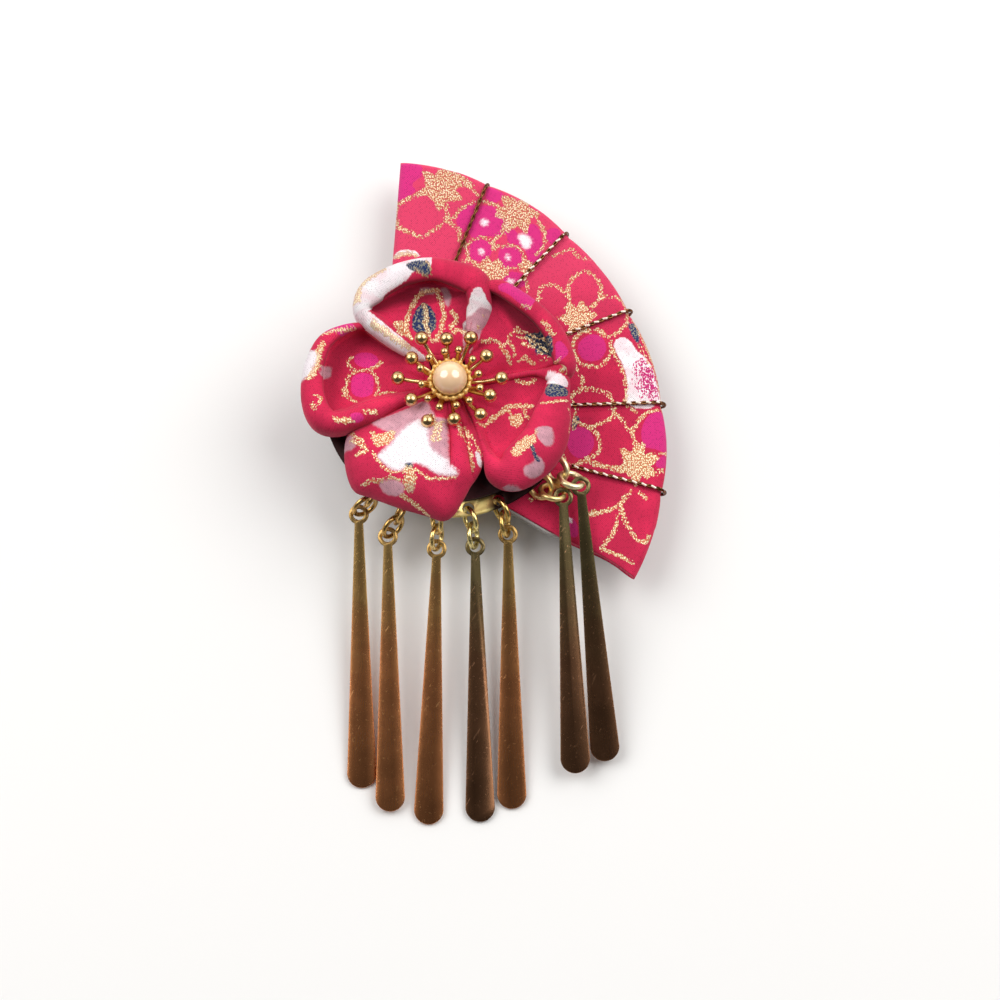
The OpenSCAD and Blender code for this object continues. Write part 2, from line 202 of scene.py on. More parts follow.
# The print, as placed on the fan's face: ink, shape, width of line, points
FAN_PRINT = motifs("""
pink patch 0 -10.6,48.2 -6.4,48.6 -5.8,46.1 -7.6,44.1 -7,42.6 -9.9,40.7 -11.1,42.9
gold star 5.13 -2.1,43.5
gold line 1.41 -0.1,46.5 1.9,45.4 3.5,43.7
gold line 0.78 -5.2,42.6 -7.2,41.6 -9,40.7 -10.5,40.1
gold line 0.74 -10.4,40.1 -10.6,37.8 -10.4,35.4 -8.9,34.3 -7.1,33.3 -5.8,33 -4.1,33.8 -2.4,35.2
    -1.2,36.9 -1.1,38.8 -1.3,40.3
pink patch 0 0.8,36.7 2.3,39 4.5,39.9 3.7,36.9 2.5,34.2 1.4,35
gold line 0.69 -1.2,36.5 0.6,37.3 1.4,38.5 3.2,39.8 5,40.5 6.6,40.4 8.2,39.8 9.4,39.5
gold line 0.69 -1,36.3 0.5,35 1.6,34.2 1.5,32.5 2.6,31.6 2.9,29.8
gold line 0.65 2.7,44.6 3.7,43.3 4.9,42
pale patch 0 -11.3,28.5 -10.6,29.8 -8.6,30.2 -7,29.8 -6.2,28.7 -8.2,29.2 -10.2,28.8
gold line 0.91 -10.8,28.9 -8.9,29.5 -6.9,29
pink patch 0 6.8,42.9 7.8,43.5 10,42.2 9.7,40.9 8,40.2 6.7,41.1
gold star 4.94 12.6,37.9
pink patch 0 5.1,39.3 8,39.5 9.5,37.8 11,36 10.5,34.2 8.6,33 6.4,33.1 4,32.8 3.3,34.6 3.7,36.9
white patch 0 5.7,36.3 6.3,36.6 7,36.2 6.8,35.5 6,35.4
pink patch 0 10.7,34.1 11.9,34.6 13.2,33.3 14.7,33.7 15.4,35.7 17.1,34.6 17.7,31.3 17.5,29.1
    16.3,27.5 15,27.9 14.3,30.2 12.7,31.3 11.1,31.7
white patch 0 13.1,33.2 14.2,33.4 15.5,32.3 15.3,31.1 14.4,30.4 13.4,31.8
pink patch 0 0.6,26.6 2.9,27.1 4.5,26.1 4.8,24.3 3.1,24.7 1.2,25.8
gold line 0.69 16.7,36.7 17.5,35.2 18.3,33.3 17.9,31 16.6,29.3
gold line 0.91 11.9,35.2 10.4,34 9,33.1 8,31.9 8.2,30.2
pink patch 0 3.9,31.8 5.7,32.4 7.4,31.6 7.8,29.6 6.6,28 4.5,27.8 3.4,29.4
white patch 0 5.3,30 5.8,30.3 6.2,29.8 6,29.2 5.5,29.4
gold line 0.61 2.9,30.8 4.1,32.3 5.7,32.7 7.2,32.3 8.2,31
gold line 0.61 3.1,30.2 3.3,28.3 4.7,27.2
pink patch 0 9.4,30.2 11.1,31.1 13,30.2 13.8,28.2 12.5,26.6 10.5,26.3 9.1,28
white patch 0 10.5,28.8 11,29.1 11.3,28.6 11.2,28.1 10.7,28.2
gold line 0.61 8.4,30.2 10,31 11.9,31 13.5,30 14.1,28.3
gold star 3.8 7.5,25.5
gold patch 0 13.1,27.2 14.1,28.3 15.7,27.7 16,26.4 14.9,25.1 13.5,25.8
gold line 0.61 10,26 11.5,26.4 13.1,26.4
pink patch 0 10.3,24.7 11.7,25.6 13.6,25.2 14.6,24.2 14.2,22.8 12.1,22.3 10.3,22.5
white patch 0 10.8,23.8 11.5,24.1 12.1,23.8 11.9,23.4 11.1,23.4
gold line 0.56 14.1,24.7 14.8,23.1 14.7,21.4
gold line 0.65 0.4,26.4 2,27.7 3.7,27.9 5.1,26.8
pink patch 0 0.6,25.4 2.8,26.4 4.7,25.4 4.9,23.5 2,23.1 0,23.9
pink patch 0 18.5,34.2 20.2,34.9 21.3,34.2 21,32.4 19.8,31.3 18.4,32.6
gold line 0.61 19.8,29.1 21.5,29.8 23.3,30.4 24.6,28.9 26.6,28.2
gold line 0.65 16.6,19.9 17.4,22.2 19.1,22.9 21.3,22 22.6,20.4 23,18.5
gold line 0.65 23,19.8 22.7,22.6 24.2,24.9 26.4,25.6 28.5,24 29.1,21.6 27.7,18.9 26.5,17.9
gold line 0.65 27.3,18.1 29,19.9 31.4,20.5 33.1,19.8 34.1,17.9 34,15.2 32,12.9 29.9,12.3 28.2,13.8
gold star 3.99 24.4,16.1
gold line 0.65 17.2,20.2 16.4,18.5 17,16.4
pink patch 0 24.5,10.5 25.9,12.3 28,12.7 29.5,11.5 29.9,9.4 28.5,7.4 26.2,7.2 24.8,8.4
gold line 0.65 26.8,13.6 24.5,12.7 23.5,10.3 24.3,7.6 26.2,6.2 28.7,6.3 30.6,8.2 30.9,10.9
    29.5,12.9 28.2,13.8
navy patch 0 34.6,14.8 35.8,15 36.5,12.9 36.1,11.3 34.9,12.3
gold line 0.56 35.4,15.8 36.3,13.6 37.4,10.9 38.5,8.4 39.3,6.2
pale patch 0 31.4,10.9 33,12.1 34.5,11.3 35.9,9.2 37.4,8 38.7,6.2 39.4,3.7 40.1,0.9 40.3,-1.1
    33.8,-1.1 34,2.1 33.3,5.8 32,8.6
dots patch 0 35.8,6.6 37.4,7.2 39.1,6.2 39.8,3.7 39.9,0.1 38.2,-0.5 36.7,1.1 35.8,3.9
gold line 0.56 30.9,10.3 31.6,8.2 32.5,6.2 33.4,3.7 33.6,1.3 33.5,-1.1
gold line 0.56 39.3,6.2 40,3.3 40.5,0.5 40.9,-1.5
navy line 0.48 34.2,15.2 35.1,12.7 36.5,10.3
gold line 0.52 37.1,12.9 38.2,10.3 39.3,7.4
gold line 0.43 36.1,10.5 37.4,8.2 38.7,5.8
gold line 0.65 23.6,6.2 24.8,4.5 25.4,2.7 24.8,1.1
gold line 0.69 22.2,-1.6 23,-0.1 24.6,1.1 26.7,1.5 29,1 30.5,0.1 31.3,-1.5
gold line 0.65 23,-1.1 24,-2.3 23.7,-4.6 23.4,-6.4
navy patch 0 23.2,-5 24.1,-3.8 24.7,-4.8 23.8,-6.4 23.2,-7
gold line 0.65 24.3,-5.1 25.9,-6 27.4,-6 28.9,-5.3 30.7,-4.4 31.4,-2.5
gold line 0.69 30.7,-2.3 32,-4 33.3,-5.4 34.5,-7.4 35.2,-9.4 35.6,-11.2
gold line 0.61 34.6,-7.4 35.5,-5.8 36.6,-4 38.2,-3 40.9,-2.4
pale patch 0 34.3,-1.6 36.6,-1.5 39.1,-1.7 38.2,-2.3 35.9,-2.3
gold line 0.52 34,-1.9 35.5,-3.1
pink patch 0 36.4,-7.2 37.2,-4.8 38.5,-3.4 40.5,-3.1 41.6,-5.2 41.7,-8.8 41.3,-11.2 39,-10.6
    36.9,-10
gold star 4.56 35.6,-13.5
gold line 0.56 37.6,-12.4 39.3,-11.8 41.3,-11.3
pink patch 0 39.3,-12.6 41.2,-12 41.2,-14 39.3,-14.2
gold line 0.65 37.4,-14.6 39.1,-15.2 40.4,-14.8
pink patch 0 22.8,-7.2 24.1,-6.2 26,-6.6 27.2,-8.2 27.3,-10 26.2,-11.8 24.3,-12.4 22.8,-11.2
    22.2,-9.2
gold line 0.69 26.4,-6.2 27.8,-7.4 28.5,-9.2 28.3,-11 26.9,-12.2 25.2,-13 23.7,-13.8
gold line 0.82 25.8,-12.6 26.9,-13.4 28.4,-13.8 30.3,-14.3 32.6,-14.2
gold line 0.56 21.2,-10.8 21.6,-12.4 22.7,-13.8
gold line 1.08 25.5,-23.9 26.6,-23.4 27.8,-23.3
gold line 0.74 27.6,-23.3 29.7,-22.8 31.9,-21.9 33,-20.3 34.3,-18.9
gold line 0.74 32.3,-21.9 32.7,-23.9 33.6,-25.8 34.7,-27.6 36,-28.8 37.1,-28.8 37.7,-27.6
gold line 0.65 31.6,-23.5 31.4,-25.4 30.6,-27.6 29.4,-29.1 28.2,-30.5
gold line 0.74 28.4,-30.8 30.1,-31.3 31.8,-31.9 33.3,-32.6 34.2,-33.2
gold line 0.69 36,-19.3 37.1,-20.3
pink patch 0 21.9,-25 23,-24.2 24,-25.8 23.9,-28 22.6,-27.8
pale patch 0 21.9,-24.2 22.8,-24.1 23.2,-25 22.3,-25.2
gold line 0.65 17.1,13.6 18.7,11.5 19.1,9 18.1,7
gold line 0.65 15.1,-20.7 17.4,-19.7 19.3,-20.7
""")

# The print on each petal, laid flat with its tip along Y, in the same columns
PETAL_PRINTS = {
    # In petal_top the thin light band along the top of the left roll, in the lightest ink, is a
    # painted highlight.
    "petal_top": motifs("""
pale patch 0 -20.9,11.5 -25.7,10.6 -28.7,13.6 -29.9,16.8 -29.2,20.9 -24.6,26.7 -18.3,31.5
    -13.2,33.8 -5.5,35.2 -1.3,33.4 -2.6,28.6 -7.2,29 -10.7,27.6 -12.5,26.1 -17,22.9 -20.3,18.8
    -15.4,15.1 -17.9,12.3 -18.5,11.7
white patch 0 -19.7,23.4 -16.6,26.2 -12.3,28.7 -9.8,28.8 -11.5,27.4 -15.7,25.2 -18.4,23.2 -21.3,20
    -22.7,17.7 -22.4,19.6
gold line 1.17 -23.7,13.9 -25.7,16.8 -25.1,19.6 -22.9,22.7 -20.6,24.9
navy patch 0 -13,28.5 -8.6,30.4 -3.2,30.2 -2.4,28.6 -4.8,27.7 -7.3,28.3 -10.8,28.1
gold line 0.54 -9,28.6 -6.7,28.2 -3.9,27.8
gold line 0.63 -4.1,30.3 -2.4,29.2 -2.3,28.1
navy patch 0 -5.1,17 -3.9,16 -3,14.4 -2.8,12.5 -3.5,10.9 -5.1,10.2 -6.6,10.7 -7.5,12 -7.2,14
    -6.4,15.8
gold line 0.9 -5.1,16.4 -4.6,14.6 -4.8,12.7 -4.3,11 -4.8,9.8
gold line 0.9 -2.3,19.3 -4.8,19.3 -6.5,18.3 -7.4,16.3 -8.2,13.8 -8.7,12.2 -8.4,10.5 -7.8,9.4
gold line 0.85 -2.3,19.3 -1.8,17.1 -1.3,14.9 -1.5,13 -1.8,11.5 -2.7,9.9
mauve patch 0 -6,19.8 -4.3,20 -2.8,19.6 -3.1,18.8 -4.4,18.7 -5.7,19.1
mauve patch 0 -1.6,19.6 -0.4,19.6 0.2,18.7 0.3,16.7 -0.3,15.7 -0.9,16.8 -1.2,18.6
gold patch 0 -11.2,11.8 -10.1,12.3 -8.5,12.6 -8.3,10.5 -9.2,8.8 -10.6,9.6
gold line 0.9 0.4,14.6 1.2,13.4 -0,12
gold line 0.72 0.7,11 2.3,11 7,9
gold line 0.81 -4.8,9.7 -2.8,9.4
pale patch 0 -19.6,12 -18.3,12.5 -16,11.3 -13.3,9.5 -10.6,8 -8,6.4 -4.8,5.2 -5.4,4.5 -8.9,3.2
    -12.1,5.1 -15.9,7.2 -19.3,9.7 -23.7,10.8
gold line 1.08 -16.5,10.2 -13.3,8.4 -10.6,7.1 -8.7,6.2
white patch 0 -7.9,5.9 -6.8,5.4 -5.6,4.9 -5.9,4.4 -7,4.8
pale patch 0 11.8,19.1 11.8,17.5 12.3,15.1 13.9,13.1 11.6,10.7 10.4,7.6 5.7,8.3 4.4,6.8 3.7,5.8
    2.8,5.5 2.6,6.1 2.5,9.7 2.9,12.7 8.1,14.8 9.7,17.4
mauve patch 0 10.3,13.8 11.8,13.3 13.9,12.6 11.6,10.7 10.4,7.6 5.7,8.3 4.4,6.8 3.7,5.8 2.8,5.5
    2.6,6.1 2.5,9.7 3,11.9 7.9,12.5
gold line 0.4 10.1,12.2 10.6,11.5
gold line 0.36 8,10.3 9,9
"""),
    "petal_left": motifs("""
pink patch 0 -29.3,12.1 -23.1,14.7 -19.9,14.1 -19.8,12 -25.9,12 -28.9,10.7
gold line 0.54 -29.6,10.6 -26.3,12.2 -22.7,13.4 -19.8,13.8
white patch 0 -36,-2.4 -35.7,2.1 -34.8,4.9 -31.6,5.3 -31.5,3.4 -32.3,0.5 -32.9,-2.5 -35.5,-5.2
gold line 0.9 -29.9,8.3 -31.2,5.2 -31.5,2.1 -32.3,-1.4 -33.2,-3.7
mauve patch 0 -31,0.4 -30.1,2.2 -23.7,3.6 -23,3 -23.1,2 -23.9,1.3 -30.7,-1.2
gold line 0.67 -31.4,-7.8 -30.1,-8.4 -29.8,-10.1
gold line 0.49 -31,-10.2 -29.6,-11.5
gold line 0.77 -22.8,-10.5 -21.4,-10.9 -19.7,-10.8
pink patch 0 -19,-9.7 -17.2,-9.3 -17.3,-10.4 -19.8,-11.2
gold line 0.67 -16.2,-8.9 -14.1,-8.5
pink patch 0 -18.2,6.4 -16.4,7 -14.4,6.5 -13.8,5.1 -15.2,4 -17.2,4.2 -18.3,5
pink patch 0 -18.6,2.1 -16.8,2.9 -15,2.3 -14.6,0.2 -15,-2.1 -16.9,-2.6 -18.6,-1.5 -19,0.3
gold line 0.54 -18.8,6 -19.6,4.8 -18.9,3.7 -17.9,3.3 -16,3.5 -14.4,4.1 -13.3,5.1
gold line 0.58 -18.1,3.3 -19.3,2.2 -19.9,0.7 -19.8,-1 -18.9,-2.9 -17.7,-3.5
gold line 0.58 -14.8,2.8 -14,1.5 -13.7,-0.5 -14.1,-2.3 -12.9,-1.6 -10.5,-1.2
gold line 0.54 -20.4,-0.4 -20.2,-2
"""),
    "petal_right": motifs("""
mauve patch 0 3.2,13 3.5,13.5 5.9,12.2 5.7,10.4 3.8,9.2 3.3,9.4
pink patch 0 7.5,22.8 9.7,24.5 14.1,23.9 18.7,21.3 18.6,18.6 14.9,20.4 11.1,21.8 8.8,22.2
gold line 0.58 15.7,20.1 19,18.8
gold line 0.63 23.7,13.4 25.2,10.3 26.4,7.4
pink patch 0 26.7,5.3 27.9,3.9 28.3,0.5 25.7,-0.3 26.4,0 26.5,3.2
gold line 0.81 27,0.4 23.4,0.4 26.5,-2
gold line 0.58 6.2,8.9 7.8,9 9.2,8.6 10,7.3 10.7,6.4 11.3,4.8
gold line 0.58 9.6,7.8 10.9,8.5 11.5,10.1 13,11.3
gold line 0.49 11.1,8.4 12,7.5 12.2,6.1
navy patch 0 14.5,9.9 16.9,9.9 25,8.6 26.1,5.2 25.4,3.7 17.8,5.2 16.1,6.6 14.9,8.4
gold line 0.4 12.4,10.5 14.6,10.3 17.1,8.8 25.6,6.4
gold line 0.4 12.8,9.5 14.9,9 17.4,7.2 19,5.8
gold line 0.4 13.7,8.4 15.6,7.4 17.7,5.4
gold line 0.58 13.1,5.2 14.2,6 14.9,5.2 16,4.4
gold line 0.45 17.3,4.6 18.9,4.4
"""),
    "petal_lower_right": motifs("""
gold line 0.72 12.8,1 14.4,0.3 16,0.8
gold line 0.9 7.6,-7 9.2,-5.6 10.8,-4.2 13.2,-4 15.8,-4.5
gold patch 0 11.2,-6 12.9,-5.6 14.1,-6.5 13.7,-8.1 12.2,-8.4 11.3,-7.3
gold line 0.58 10.8,-4.2 11.8,-6
gold line 0.58 14,-4.8 15.2,-6.9
gold line 0.72 4.6,-8.1 6.5,-8 7.4,-7.2 7.9,-6.1
pale patch 0 21.2,3.8 25.3,4.3 28.3,3.5 28.7,1.4 25.9,0.7 18.3,0.6
navy patch 0 25.4,0.2 27.5,1.2 29.7,0.7 30.4,-1.7 28.2,-3.3 26.8,-2.8
gold line 0.9 26.9,-6 28.9,-5.1 30.6,-3.5
mauve patch 0 24.3,-16.3 26.2,-15.4 27.6,-15.8 26.9,-18.5 25.4,-20.6 23.5,-21.1 22.8,-19.9
    23,-18.6
gold patch 0 14.1,-21.5 16.4,-19.9 19.3,-18.5 22.5,-18.2 21.6,-19.9 19.2,-21.1 16.3,-22.5
    14.5,-22.7
navy line 0.99 19.9,-20.7 19.3,-22.7 19.1,-24.3
mauve patch 0 14.8,-25.2 17.4,-24.7 19.7,-23.3 20.3,-24.7 18.7,-26.8 16,-27.6 14.3,-26.4
mauve patch 0 9.7,-25.2 11.1,-25.7 12.7,-28.3 12.2,-28.4 11.3,-27.7 10.1,-26.6
gold line 0.4 31.6,-5.9 32.9,-10.2 31.3,-16.4
gold line 0.4 24.4,-16.7 22.4,-18.8
"""),
    "petal_bottom": motifs("""
mauve patch 0 -14.7,-7.6 -11.1,-6.4 -7.6,-4.9 -5.5,-3.5 -4.2,-4.2 -2.6,-7.4 -0.8,-7.7 -0.6,-10.3
    -0.5,-14.4 0.6,-17.5 1.4,-18.6 -0.4,-19 -2.5,-18.8 -4.4,-17.6 -6.3,-16.8 -7.7,-17.6 -9.2,-18.3
    -10.8,-17.9 -12.4,-16.7 -13.4,-15.4 -12.4,-14.2 -10.8,-12.5 -10.1,-10.9 -11.7,-10.3 -13.8,-9.1
white patch 0 -9.3,-11 -7.4,-9 -5.6,-8.1 -4.3,-9.2 -4.1,-11.7 -3.4,-14 -1.8,-15.4 -0.3,-16.1
    1.6,-18.4 -0.4,-18.8 -2.5,-18.5 -4.4,-17.4 -6.3,-16.7 -7.7,-17.3 -9.2,-18.1 -10.9,-17.7
    -12.2,-16.5 -13.2,-15.3 -11.9,-14.3 -10.4,-12.7
gold patch 0 -14.8,-10 -12.8,-10.9 -10.6,-10.1 -10.1,-11.6 -11.5,-13.1 -13.3,-13.3 -14.3,-12.4
mauve patch 0 -20,-10.5 -18.7,-10.4 -17.9,-11.7 -18.2,-13.1 -21.6,-12.8
gold line 0.81 -18.7,-11.5 -16.8,-12.5 -15.5,-13.9 -17.5,-14.5
gold line 0.72 -19,-9.1 -18,-10.6 -16.3,-12
gold line 0.99 -3.5,-7.3 -2.6,-9 -2.7,-10.7 -3.2,-12.1
gold line 0.63 -1.6,-8.4 -2,-10.6 -2.2,-12.3
gold line 0.45 -14.4,-14.1 -13.4,-16 -12.5,-17.2 -10.7,-18.5 -8.1,-18.3
mauve patch 0 -13.1,-20.3 -11.6,-19.8 -9.5,-20 -8.3,-21.1 -9,-22.5 -11.3,-22.7 -12.8,-21.7
gold line 0.49 -16.7,-20.3 -14.6,-19.8 -12.7,-20 -10.8,-19.5 -9.2,-19.8
gold patch 0 -8.3,-17.6 -7,-17.4 -6.2,-18.7 -6.4,-20.8 -7.2,-22.3 -8.2,-21.7 -8.4,-20 -8,-18.6
navy patch 0 -8.2,-16.9 -7.1,-16.8 -6.7,-17.6 -7.7,-17.9
mauve patch 0 -7.7,-20.7 -6.5,-20.7 -6.8,-21.8 -7.8,-21.8
gold line 0.54 -6.2,-18 -4,-19.5 -1.8,-19.6 1.3,-19.1
gold line 0.9 -8.9,-22.6 -7.2,-24.2 -5.2,-25.7 -3.4,-27.5
gold line 0.63 0.9,-7.7 1.6,-9.1 2.2,-11.1 3.7,-12.9 4.2,-14.9 4.7,-17.1
gold line 0.45 1.6,-7 3.4,-9.5 4,-12.5
pale patch 0 4.9,-14.1 5.8,-14.4 6.5,-16.4 5.7,-16.5 5.2,-15.4
gold line 0.45 4.4,-10.8 5.2,-12.9 6.1,-14.3
pale patch 0 6.6,-15.4 6.6,-15.7 6.5,-16.4 6.5,-16.4
"""),
}


# ---------------------------------------------------------------- settings

def colour(label, note, value):
    return FloatVectorProperty(name=label, description=note, default=value, size=3,
                               min=0.0, max=1.0, subtype="COLOR")


def length(label, note, value):
    """A size in metres, given here in millimetres."""
    return FloatProperty(name=label, description=note, default=value * MM,
                         min=0.0, unit="LENGTH", subtype="DISTANCE", precision=5)


class BarretteCloth(bpy.types.PropertyGroup):
    crimson: colour("Crimson", "Ground of the print", (0.62, 0.0205, 0.081))
    rose: colour("Rose", "What the ground fades to at the fan's top", (0.72, 0.058, 0.15))
    pink: colour("Hot pink", "Lit petals of the print", (0.66, 0.028, 0.21))
    pale: colour("Pale", "White and pale pink patches", (0.95, 0.89, 0.91))
    mauve: colour("Mauve", "Soft pink patches", (0.66, 0.34, 0.41))
    navy: colour("Navy", "Small dark leaves of the print", (0.02, 0.035, 0.12))
    gold: colour("Gold ink", "Lit flecks of the metallic ink", (0.98, 0.76, 0.44))
    gold_low: colour("Gold shade", "Ink between the flecks", (0.45, 0.18, 0.07))
    thread: length("Thread pitch", "Distance from thread to thread", 0.42)
    thickness: length("Cloth thickness", "Thickness of the petals' cloth", 0.75)
    swell: length("Fan swell", "How far a panel of the fan swells between cords", 0.6)


class BarretteMetal(bpy.types.PropertyGroup):
    gilt: colour("Gilt", "Colour of the gilt metal", (0.70, 0.46, 0.17))
    worn: colour("Worn gilt", "Colour of the strips' metal", (0.60, 0.235, 0.092))
    steel: colour("Steel", "Colour of the clasp", (0.55, 0.55, 0.56))
    edge: length("Edge round", "Rounding of the stamped edges", 0.11)
    ring_wire: length("Ring wire", "Thickness of a jump ring's wire", 0.94)
    ring_mean: length("Ring size", "Diameter of a jump ring to the middle of its wire", 4.6)
    teeth: IntProperty(name="Cup teeth", description="Teeth round the pearl", default=18, min=8)


class BarretteCord(bpy.types.PropertyGroup):
    thread: colour("Thread", "Colour of the metallic cord", (0.17, 0.062, 0.024))
    ply: length("Ply", "Radius of one of the cord's two strands", 0.22)
    lay: length("Lay", "Length of one full turn of the strands", 3.78)


class BarrettePearl(bpy.types.PropertyGroup):
    lustre: colour("Lustre", "Colour of the pearl", (1.0, 0.66, 0.38))
    # Painted sheen: the pearl's colour turns towards this at its edges.
    grazing_sheen: colour("Bloom", "Second colour in the pearl's surface", (1.0, 0.74, 0.38))


class BarretteStage(bpy.types.PropertyGroup):
    floor: colour("Floor", "Colour of the floor", (0.90, 0.90, 0.90))
    lamp: FloatProperty(name="Lamps", description="Power of each lamp", default=4.3, min=0.0,
                        unit="POWER")
    zenith: FloatProperty(name="Sky above", description="Light from straight above",
                          default=0.30, min=0.0)
    horizon: FloatProperty(name="Sky round", description="Light from all round",
                           default=0.45, min=0.0)


# ---------------------------------------------------------------- node trees

class Link:
    """One output socket. Arithmetic on it adds Math nodes."""

    def __init__(self, graph, socket):
        self.graph, self.socket = graph, socket

    def math(self, operation, *values):
        return self.graph.add("ShaderNodeMath", {"operation": operation},
                              dict(enumerate(values)))

    def __add__(self, other):
        return self.math("ADD", self, other)

    def __mul__(self, other):
        return self.math("MULTIPLY", self, other)

    def __sub__(self, other):
        return self.math("SUBTRACT", self, other)

    def __rsub__(self, other):
        return self.math("SUBTRACT", other, self)

    def __truediv__(self, other):
        return self.math("DIVIDE", self, other)

    __radd__, __rmul__ = __add__, __mul__

    def output(self, number):
        """Another output of the same node."""
        return Link(self.graph, self.socket.node.outputs[number])

    def sine(self):
        return self.math("SINE", self)

    def step(self, low, high):
        """0 below low, 1 above high, and smooth between them; low may be the larger."""
        return self.graph.add("ShaderNodeMapRange", {"interpolation_type": "SMOOTHSTEP"},
                              {"Value": self, "From Min": low, "From Max": high})


class Graph:
    """A node tree that is put together node by node."""

    def __init__(self, tree):
        self.tree = tree

    def add(self, kind, settings=None, values=None, out=0):
        """Any node: its type, its settings, then the values or links of its sockets."""
        node = self.tree.nodes.new(kind)
        for key, value in (settings or {}).items():
            setattr(node, key, value)
        for key, value in (values or {}).items():
            for one in value if isinstance(value, list) else [value]:
                if isinstance(one, Link):
                    self.tree.links.new(one.socket, node.inputs[key])
                else:
                    node.inputs[key].default_value = one
        return Link(self, node.outputs[out]) if len(node.outputs) else None

    def mix(self, share, first, second):
        def full(value):
            return value if isinstance(value, Link) else (*value, 1)
        return self.add("ShaderNodeMix", {"data_type": "RGBA"},
                        {0: share, 6: full(first), 7: full(second)}, 2)

    def scaled(self, where, factor):
        return self.add("ShaderNodeVectorMath", {"operation": "MULTIPLY"},
                        {0: where, 1: tuple(factor)})

    def here(self):
        """Object coordinates."""
        return self.add("ShaderNodeTexCoord", {}, {}, 3)

    def field(self, name, out=2):
        """A field of the mesh: a number, or with output 1 a vector."""
        return self.add("ShaderNodeAttribute", {"attribute_name": name}, {}, out)

    def noise(self, where, scale, detail=2.0, out=0):
        return self.add("ShaderNodeTexNoise", {},
                        {"Vector": where, "Scale": scale, "Detail": detail}, out)


def tinted(shade, factor):
    """A colour times one number or three, and no brighter than 1."""
    factors = factor if isinstance(factor, tuple) else (factor,) * 3
    return [min(1.0, c * f) for c, f in zip(shade, factors)]


def finish_of(name):
    """A new material and its tree, with every node taken out."""
    material = bpy.data.materials.new(name)
    material.use_nodes = True
    material.node_tree.nodes.clear()
    return material, Graph(material.node_tree)


def surface(graph, colour_, roughness, metallic=0.0, normal=None, **constants):
    """Ends a tree in a Principled surface."""
    values = {"Base Color": colour_, "Roughness": roughness, "Metallic": metallic}
    values.update({key.replace("_", " "): value for key, value in constants.items()})
    if normal is not None:
        values["Normal"] = normal
    shader = graph.add("ShaderNodeBsdfPrincipled", {}, values)
    graph.add("ShaderNodeOutputMaterial", {}, {"Surface": shader})


def bump(graph, height, depth_mm, strength=1.0):
    return graph.add("ShaderNodeBump", {},
                     {"Height": height, "Strength": strength, "Distance": depth_mm * MM})


